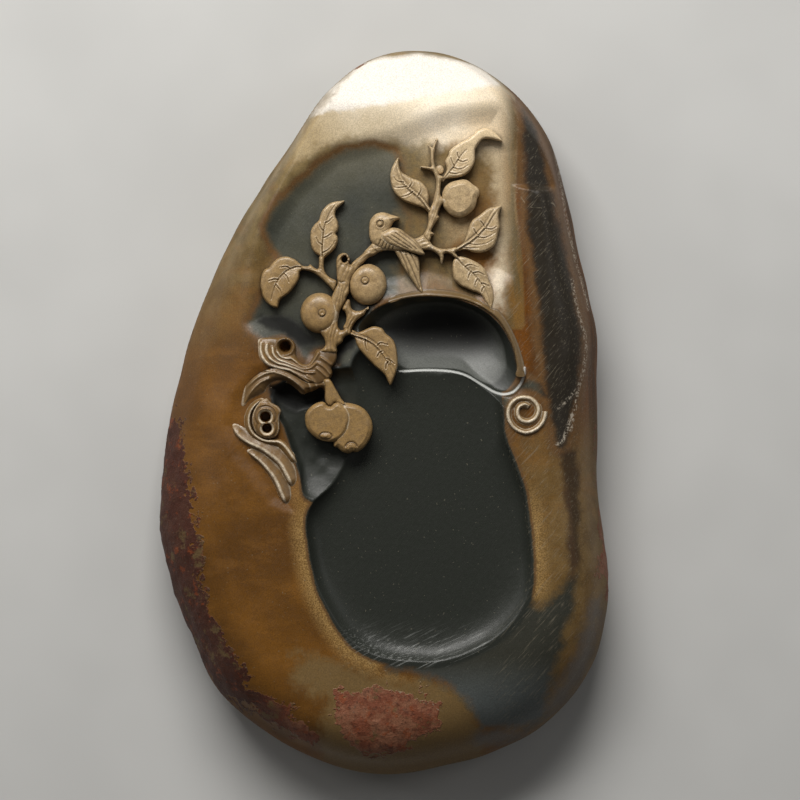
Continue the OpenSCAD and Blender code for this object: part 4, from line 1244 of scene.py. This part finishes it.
    def ground(self, color, dark, halo):
        """Skin and slate, with the brown line between them and the named patches."""
        color = self.mix(dark, color, self.slate())
        line = self.times(halo, self.ramp(self.value("low"), -4, 0, (0.9, 0)))
        color = self.mix(line, color, (109, 78, 44))
        tan = self.mix(self.ramp(self.add(self.y, 0.3, self.x), 0.034, 0.044),
                       self.tones(self.small, (128, 109, 72), (104, 91, 63), 0.2),
                       self.tones(self.small, (190, 170, 134), (168, 150, 114), 0.2))
        share = self.times(self.zone("mid", 3, 1.4), self.ramp(self.middle, 0.3, 0.7, (0.45, 0.95)))
        color = self.mix(share, color, tan)
        color = self.mix(self.times(self.zone("stripe", 1.6, 0.6), 0.85), color,
                         self.mix(self.streak, (66, 46, 30), (54, 40, 26)))
        return self.mix(self.times(self.zone("edge_grey", 3, 1), 0.8), color, (104, 98, 92))

    def marks(self, color):
        """Chips, cracks and file marks, brush marks with a painted sheen at the low end of the hall,
        then grain and painted shade in corners.
        """
        fleck = self.times(self.ramp(self.value("chip"), 0.1, 0.9, (1, 0)),
                           self.ramp(self.noise(0.9, 3, 0.7), 0.48, 0.58))
        color = self.mix(fleck, color, (192, 181, 163))
        crack = self.times(self.ramp(self.value("crack"), 0.08, 0.3, (1, 0)),
                           self.ramp(self.small, 0.35, 0.6))
        color = self.mix(self.times(crack, 0.6), color, (170, 159, 136))
        filed = self.ramp(self.noise(0.6, 3, 0.7, (0.06, 1.2, 1), 48), 0.54, 0.72, (0, 0.4))
        facet = self.times(self.ramp(self.x, 0.03, 0.042), self.ramp(self.deep, 2, 1))
        color = self.mix(self.times(filed, facet), color, (150, 140, 120))
        # Brush marks at the low end of the hall, lightened as a painted sheen
        low_end = self.times(self.ramp(self.y, -0.066, -0.08), self.ramp(self.hollow, -0.5, 0.5))
        brush_marks_and_sheen = self.ramp(self.noise(0.7, 3, 0.7, (0.07, 1.2, 1), 26), 0.5, 0.75, (0, 0.55))
        color = self.mix(self.times(low_end, brush_marks_and_sheen), color, (181, 183, 179))
        color = self.mix(self.ramp(self.grain, 0.3, 0.7, (0, 0.3)), color, (24, 22, 17))
        color = self.mix(self.ramp(self.noise(0.9, 1), 0.72, 0.78, (0, 0.28)), color, (136, 130, 112))
        # Painted shade in corners and round the carving
        return self.mix(self.ramp(self.closeness(2.4), 0.25, 0.8, (0, 0.85)), color, (22, 17, 11))

    def sheen(self, crust, shadow):
        """Roughness: cut stone and skin are polished, crust, shadows and the underside dull."""
        cut = self.ramp(self.hollow, -1, 0.5)
        polished = self.times(self.ramp(self.small, 0.3, 0.7, (0.34, 0.46)),
                              self.ramp(self.hollow, -1, 0.5, (1, 0)))
        roughness = self.calc("ADD", polished,
                              self.times(self.ramp(self.small, 0.3, 0.7, (0.36, 0.42)), cut))
        for value, low, high, dull in ((crust, 0, 1, 0.62), (shadow, 0, 1, 0.8),
                                       (self.z, 0.03, 0.02, 0.7)):
            roughness = self.most(roughness, self.ramp(value, low, high, (0.3, dull)))
        return roughness

    def build(self):
        dark = self.most(self.ramp(self.add(self.shift, 0.15, self.deep), 4.2, 6.4),
                         self.zone("dark", 3, 0.45))
        dark = self.most(dark, self.zone("hollow", 0.9, 0.12))
        dark = self.most(dark, self.zone("band", 3.4, 0.5))
        halo = self.times(self.ramp(dark, 0, 0.5), self.ramp(dark, 0.5, 1, (1, 0)))
        dark = self.most(dark, self.zone("low", 2.4, 0.8))
        crust = self.ramp(self.add(self.shift, 2.2, self.value("crust")), 0, 1)
        color = self.mix(crust, self.ground(self.golden_skin(), dark, halo), self.crust_tone())
        shadow = self.times(self.zone("shadow", 1.6, 0.4), self.ramp(dark, 0.2, 0.8))
        color = self.mix(self.times(shadow, 0.9), self.marks(color), (14, 14, 13))
        # Painted highlight along the crest of the lip
        color = self.mix(self.ramp(self.value("lip"), 0.15, 0.6, (0.7, 0)), color, (210, 212, 208))
        scratch = self.noise(0.5, 2, 0.6, (0.08, 1.6, 1), 52)
        normal = self.bump(self.add(self.noise(1.5, 4, 0.65), 1.5, scratch), 0.35, 0.12)
        pits = self.times(crust, self.noise(1.8, 4, 0.7))
        return self.finish(color, self.sheen(crust, shadow), self.bump(pits, 0.6, 0.7, normal), 0.32)


def carving_look(name, low_tone, high_tone, wear_and_highlight_share):
    """Satin stone of the relief, pale on its edges and crests from wear and a painted highlight, dark
    in its grooves and corners from painted shade and dust.
    """
    k = Look(name)
    broad, small, grain = k.noise(15, 3), k.noise(1.5, 3), k.noise(0.35, 2)
    along = k.add(k.axis(0), 0.6, k.axis(1))
    color = k.mix(k.ramp(along, 0.0, 0.085), low_tone, high_tone)
    color = k.mix(k.ramp(broad, 0.35, 0.65, (0, 0.3)), color, (154, 118, 64))
    color = k.mix(k.ramp(small, 0.35, 0.65, (0, 0.45)), color, (114, 91, 58))
    # Painted highlight over the upper right of the carving
    color = k.mix(k.ramp(along, 0.082, 0.112, (0, 0.8)), color, (236, 212, 172))
    # Pale edges and crests, partly wear and partly painted highlight; the crests are the negative
    # groove values
    wear_and_highlight = k.most(k.ramp(k.closeness(0.5, True), 0.45, 0.8, (0, 0.6)),
                  k.ramp(k.value("groove"), -0.2, -1))
    wear_and_highlight = k.times(wear_and_highlight, k.ramp(small, 0.3, 0.7, (0.5 * wear_and_highlight_share, wear_and_highlight_share)))
    color = k.mix(wear_and_highlight, color, (246, 232, 206))
    # Painted shade in corners and grooves, with some dust in the grooves
    deep = k.most(k.ramp(k.closeness(1.2), 0.35, 0.9), k.value("groove"))
    color = k.mix(k.times(deep, 0.85), color, (47, 33, 20))
    color = k.mix(k.ramp(grain, 0.35, 0.7, (0, 0.4)), color, (80, 62, 42))
    normal = k.bump(k.add(k.noise(0.9, 3), 2.0, grain), 0.35, 0.1)
    return k.finish(color, k.ramp(small, 0.3, 0.7, (0.28, 0.42)), normal, 0.52)


# The slab
slab = build_slab()
slab.data.set_sharp_from_angle(angle=math.radians(SLAB_SHARP))
dress(slab, "stone_slab", StoneLook().build())
# Last number: share of the pale wear and painted highlight on edges and crests
tan = carving_look("carved stone", (156, 126, 80), (208, 184, 144), 0.8)
border = carving_look("pool border", (96, 76, 48), (110, 92, 62), 0.2)
gloss = carving_look("polished root", (118, 89, 50), (172, 145, 104), 0.85)

# Leaves: whether the rib is a ridge, and the rise over the skin
for leaf, (ridge, rise) in {
        "leaf_left_upper": (False, 0.6), "leaf_left_lower": (False, 0.6),
        "leaf_top_left": (True, 0.7), "leaf_top_right": (False, 0.8),
        "leaf_right_upper": (True, 0.7), "leaf_right_lower": (False, 0.6),
        "leaf_over_pool": (True, 0.8)}.items():
    form = LEAVES[leaf]
    shape = leaf_shape(form["rib"], form["veins"], rise, ridge)
    carve(leaf, [sheet(form["outline"], shape, step=LEAF_STEP)], tan)

# Round fruits: middle, half widths and the middle of the dimple
for fruit, round_form, eye in (("fruit_left", (-20.9, 32.7, 6.3, 6.6), (-20.1, 32.7)),
                               ("fruit_middle", (-5.2, 42, 6.2, 6.7), (-6.1, 43.2))):
    carve(fruit, [sheet(ring_of(*round_form), fruit_shape(2.2, eye), smooth=False)], tan)


def front_marks(P):
    """Oval calyx at the lower end of the front fruit."""
    q = np.hypot((P[:, 0] + 18.9) / 2, (P[:, 1] + 7.4) / 1.15)
    ring = hill(q - 1, 0.17)
    return 0.35 * ease((0.5 - q) / 0.25) - 0.3 * ring, 0.8 * ring


def back_marks(P):
    """Nub with an arc over it at the lower end of the back fruit."""
    g = away(P, -10.6, -11.3)
    arc = hill(g - 1.9, 0.3) * ease((P[:, 1] + 11.4) / 0.8)
    return 0.3 * ease((1.7 - g) / 0.4) - 0.35 * arc, 0.8 * arc


def bud_shape(P, d):
    return face(P) + 0.4 + 0.5 * (1 - np.exp(-d / 0.4)), 0.5 * hill(d, 0.25)


carve("fruit_top", [sheet(TOP_FRUIT, faceted(1.9, 1.7, 1.3))], tan)
carve("fruit_front", [sheet(FRONT_FRUIT, faceted(2.3, 1.2, 0.9, front_marks))], tan, "fruit_pair_front")
carve("fruit_back", [sheet(BACK_FRUIT, faceted(1.6, 1.5, 1.1, back_marks))], tan, "fruit_pair_back")
carve("bud", [sheet(ring_of(18.2, 79.6, 1.5, 1.6, 20), bud_shape, smooth=False)], tan)


# Branch and twigs
def trunk_shape(P, d):
    z, groove = bark_shape(1.3, TRUNK_LINE)(P, d)
    for (x, y, *_), r in zip(STUB_HOLES, (1.5, 0.95)):
        z += 0.35 * hill(away(P, x, y) - r, 0.3)
    ring = hill(gap_to(P, [(-4.3, 56.2), (-3.4, 54.2), (-1.6, 52.8)]), 0.3)
    scar = hill(gap_to(P, [(-15.4, 43.5), (-14, 42.6), (-12.8, 42.9)]), 0.25)
    return z + 0.3 * ring - 0.25 * scar, np.maximum(groove, 0.6 * scar)


def stem_shape(P, d):
    bright = hill(gap_to(P, [(-17.6, 10.9), (-15.3, 7), (-12.5, 2.8)]), 0.5)
    # Groove value: painted shade along the edge, left off on the ridge
    return skin(P) + swell(d, 0.9, 0.7, 0.7) + 0.4 * bright, 0.3 * (1 - bright) * hill(d, 0.4)


branch = carve("branch", [sheet(TRUNK, trunk_shape, [ring_of(*h) for h in STUB_HOLES])], tan,
               "main_branch")
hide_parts("branch_stub")
fork_bark = bark_shape(0.9, [(-10, 36.5), (-9, 33), (-10.5, 29)])
carve("fork", [sheet(FORK, fork_bark)], tan, "hollow_fork")
for twig, outline, rise, line in (
        ("upper_twig", UPPER_TWIG, 1.2, [(13.5, 56), (15.5, 63), (17.7, 70), (17.9, 76), (16, 80),
                                         (15.7, 86), (17.3, 90)]),
        ("right_twig", RIGHT_TWIG, 1.2, [(14, 56), (17, 54), (21, 53.5), (24.5, 52)]),
        ("left_twig", LEFT_TWIG, 1.1, [(-15.5, 41.5), (-19.5, 45.5), (-26.5, 47.4)])):
    carve(twig, [sheet(outline, bark_shape(rise, line, 0.7, 0.6, 1, 0.08))], tan)
carve("fruit_stem", [sheet(STEM, stem_shape)], tan)


# Root
def root_shape(P, d):
    blend = ease((P[:, 0] + 42.4) / 3.5)
    flow = ridges(P, FLOWS, 0.45)
    ring = away(P, *UPPER_HOLE[:2])
    z = skin(P) - 0.35 + blend * (swell(d, 0.4, 0.8, 1) + 0.55 * flow)
    z += 0.55 * hill(ring - 2.8, 0.5) * blend
    gleam = flow ** 1.5 * (1 - 0.6 * ease((P[:, 0] + 33) / 8)) + 0.6 * hill(P[:, 0] + 39.5, 2.5)
    # Groove value: painted shade between the strands, painted highlight on them and at the left end
    # (gleam)
    return z, (0.45 * (1 - flow) * hill(d - 2, 3) - gleam) * blend


def arch_shape(P, d):
    share = share_between(P, ROOT_ARCH[:13], ROOT_ARCH[13:])[0]
    blend = ease((P[:, 0] + 48) / 7)
    flow = ridges(P, ARCH_LINES + FLOWS[4:7], 0.5)
    z = skin(P) - 1.3 + blend * (1.95 + 0.5 * flow) - 2.4 * ease((share - 0.35) / 0.65) ** 1.4
    # Groove value: painted shade between the lines and over the inner half of the arch, painted
    # highlight on the lines
    return z, 0.3 * (1 - flow) + 0.5 * ease((share - 0.5) / 0.5) - 0.6 * flow ** 1.5 * blend


def knot_shape(P, d):
    rings = np.min([away(P, x, y) - r for x, y, r, _ in KNOT_HOLES], 0)
    z = skin(P) + swell(d, 0.1, 0.7, 0.6) + 0.7 * hill(rings - 0.9, 0.5)
    z += 0.4 * hill(rings - 2.3, 0.35)
    gleam = 0.8 * hill(rings - 0.45, 0.3)
    # Groove value: painted shade in a ring round the holes, painted highlight on the lips of the holes
    # and along the outer edge
    return z, 0.6 * hill(rings - 1.65, 0.3) - gleam - 0.7 * hill(d - 0.3, 0.3)


def ribbon(line, wide, crest, rise):
    """Strand of the root whose crest lies off its middle, sunk at both ends."""
    line = [(x, y, w) for (x, y), w in zip(line, wide)]
    middle = strand(line, 0.8)
    length = near(middle[-1:, :2], middle)[2][0]

    def shape(P, d):
        _, left, run, place = near(P, middle)
        ends = ease(run / 5) * ease((length - run) / 4)
        side = left / np.maximum(place[:, 2], 0.3)
        swept = rise * ease((side + 1) / (1 + crest)) - 1.5 * ease((side - crest) / (1 - crest))
        shaded = 0.5 * hill(side - 0.75, 0.5) if crest < 0 else 0.5 * hill(side + 0.8, 0.4)
        z = skin(P) - 1.6 + ends * swept + 0.05 * rough(P, 1.2)
        # Groove value: painted shade on one flank, painted highlight along the crest
        return z, (shaded - 0.9 * hill(side - crest, 0.26)) * ends

    return sheet(band(line, 5), shape, smooth=False)


carve("root_upper", [sheet(ROOT_UPPER, root_shape, [ring_of(*UPPER_HOLE, 20)])], gloss)
carve("root_arch", [sheet(ROOT_ARCH, arch_shape)], gloss)
carve("root_lower", [sheet(LOWER_KNOT, knot_shape, [ring_of(*h, 20) for h in KNOT_HOLES])], gloss)
carve("root_ribbons", [ribbon(*strip) for strip in RIBBONS], gloss)


# Bird
def bird_shape(P, d):
    z = skin(P) + swell(d, 1.3, 1.7, 1.4, 0.6)
    eye = away(P, -1.15, 61.7)
    strokes = ridges(P, BREAST, 0.2)
    mouth = hill(gap_to(P, [(5.3, 63.7), (3.4, 63.5), (2.2, 62.9)]), 0.14)
    cheek = hill(near(P, strand([(-0.2, 59.1), (1.3, 59.8), (2.6, 60.6)], 0.5))[0], 0.25)
    z += 0.3 * ease((0.75 - eye) / 0.3) - 0.35 * hill(eye - 1.05, 0.22)
    z += 0.2 * hill(eye - 1.5, 0.25)
    z -= 0.35 * strokes + 0.2 * mouth + 0.3 * cheek
    return z, np.maximum(0.9 * hill(eye - 1.05, 0.22), 0.7 * np.maximum(strokes, mouth))


for name, outline, shape in (
        ("bird_body", BIRD_BODY, bird_shape),
        ("bird_wing", BIRD_WING, feather_shape(2.5, 1.2, WING_LINES, 0.32)),
        ("bird_tail", BIRD_TAIL, feather_shape(0.6, 0.8, TAIL_LINES, 0.4))):
    carve(name, [sheet(outline, shape, step=BIRD_STEP)], tan)


# Scroll and pool border
def coil_crest(angle):
    return np.interp(angle, *np.array(COIL).T)


def scroll_shape(P, d):
    dx, dy = (P - COIL_MID).T
    r, angle = np.hypot(dx, dy), np.degrees(np.arctan2(dy, dx)) % 360
    ridge = np.max([hill(r - coil_crest(angle + turn), 1.0) * (angle + turn >= 50)
                    for turn in (0, 360)], 0)
    knob = away(P, 46.1, 1.9)
    z = skin(P) - 0.3 + 1.35 * ridge - 0.9 * ease((2.3 - r) / 0.7)
    z += 0.8 * ease((1.4 - knob) / 0.5)
    # Groove value: painted shade between the turns, painted highlight on the ridge
    return z - 0.5 * np.exp(-d / 0.3), 0.9 * (1 - ridge) ** 2 * ease((7 - r) / 2) - 1.3 * ridge ** 3


def bead_shape(P, d):
    share, outer, inner = share_between(P, BEAD_OUT, BEAD_IN)
    z = face(P) + 0.15 + 0.75 * ease(share * 1.2) - 0.3 * np.exp(-inner / 0.15)
    # Groove value: painted shadow along the outer edge of the border
    return z, 0.7 * hill(outer, 0.35)


turns = np.arange(30, 390, 12)
reach = coil_crest(turns + 360) + 0.8
way = np.column_stack([np.cos(np.radians(turns)), np.sin(np.radians(turns))])
carve("cloud_scroll", [sheet(COIL_MID + reach[:, None] * way, scroll_shape)], gloss)
carve("pool_rim", [sheet(BEAD_OUT[2:] + BEAD_IN[:1:-1], bead_shape)], border, "pool_rim_bead")

# Floor and light
FLOOR_REACH = 3
corners = [(-1, -1), (1, -1), (1, 1), (-1, 1)]
floor_mesh = bpy.data.meshes.new("floor")
floor_mesh.from_pydata([(FLOOR_REACH * x, FLOOR_REACH * y, 0) for x, y in corners], [],
                       [(0, 1, 2, 3)])
floor = bpy.data.objects.new("floor", floor_mesh)
bpy.context.scene.collection.objects.link(floor)
paper = Look("pale floor")
paper.put(0.9, paper.shader.inputs["Roughness"])
paper.put(paper.tones(paper.noise(60, 2), (192, 192, 190), (198, 198, 196), 0.2),
          paper.shader.inputs["Base Color"])
floor_mesh.materials.append(paper.material)

world = bpy.data.worlds.new("studio")
bpy.context.scene.world = world
world.use_nodes = True
for key, value in {"Color": (1, 0.98, 0.95, 1), "Strength": 0.08}.items():
    world.node_tree.nodes["Background"].inputs[key].default_value = value

# Lamps: place, aim, width, height, watts and colour
LAMPS = {"key": ((-0.16, 0.74, 0.68), (0, 0.03, 0.02), 0.8, 0.42, 12.9, (1, 0.98, 0.95)),
         "left": ((-0.9, 0.4, 0.6), (0, 0, 0.02), 0.4, 0.6, 1.2, (1, 0.99, 0.97)),
         "right": ((0.9, 0.3, 0.7), (0, 0, 0.02), 0.4, 0.6, 0.9, (1, 1, 1))}
for name, (place, aim, wide, high, power, color) in LAMPS.items():
    data = bpy.data.lights.new(name, "AREA")
    data.shape, data.size, data.size_y = "RECTANGLE", wide, high
    data.energy, data.color = power, color
    obj = bpy.data.objects.new(name, data)
    obj.location = place
    obj.rotation_euler = (Vector(place) - Vector(aim)).to_track_quat("Z", "Y").to_euler()
    bpy.context.scene.collection.objects.link(obj)

# Camera: straight above the stone, as in the photo
FRAME_WIDTH = 263
FRAME_MID = (5.3, 4.3)
CAMERA_Z = 1600
SUBJECT_Z = 25
SENSOR = 36
camera = bpy.data.objects.new("camera", bpy.data.cameras.new("camera"))
camera.data.sensor_width = SENSOR
camera.data.lens = SENSOR * (CAMERA_Z - SUBJECT_Z) / FRAME_WIDTH
camera.location = [v * MM for v in (*FRAME_MID, CAMERA_Z)]
bpy.context.scene.collection.objects.link(camera)
bpy.context.scene.camera = camera
bpy.context.scene.view_settings.view_transform = "Standard"
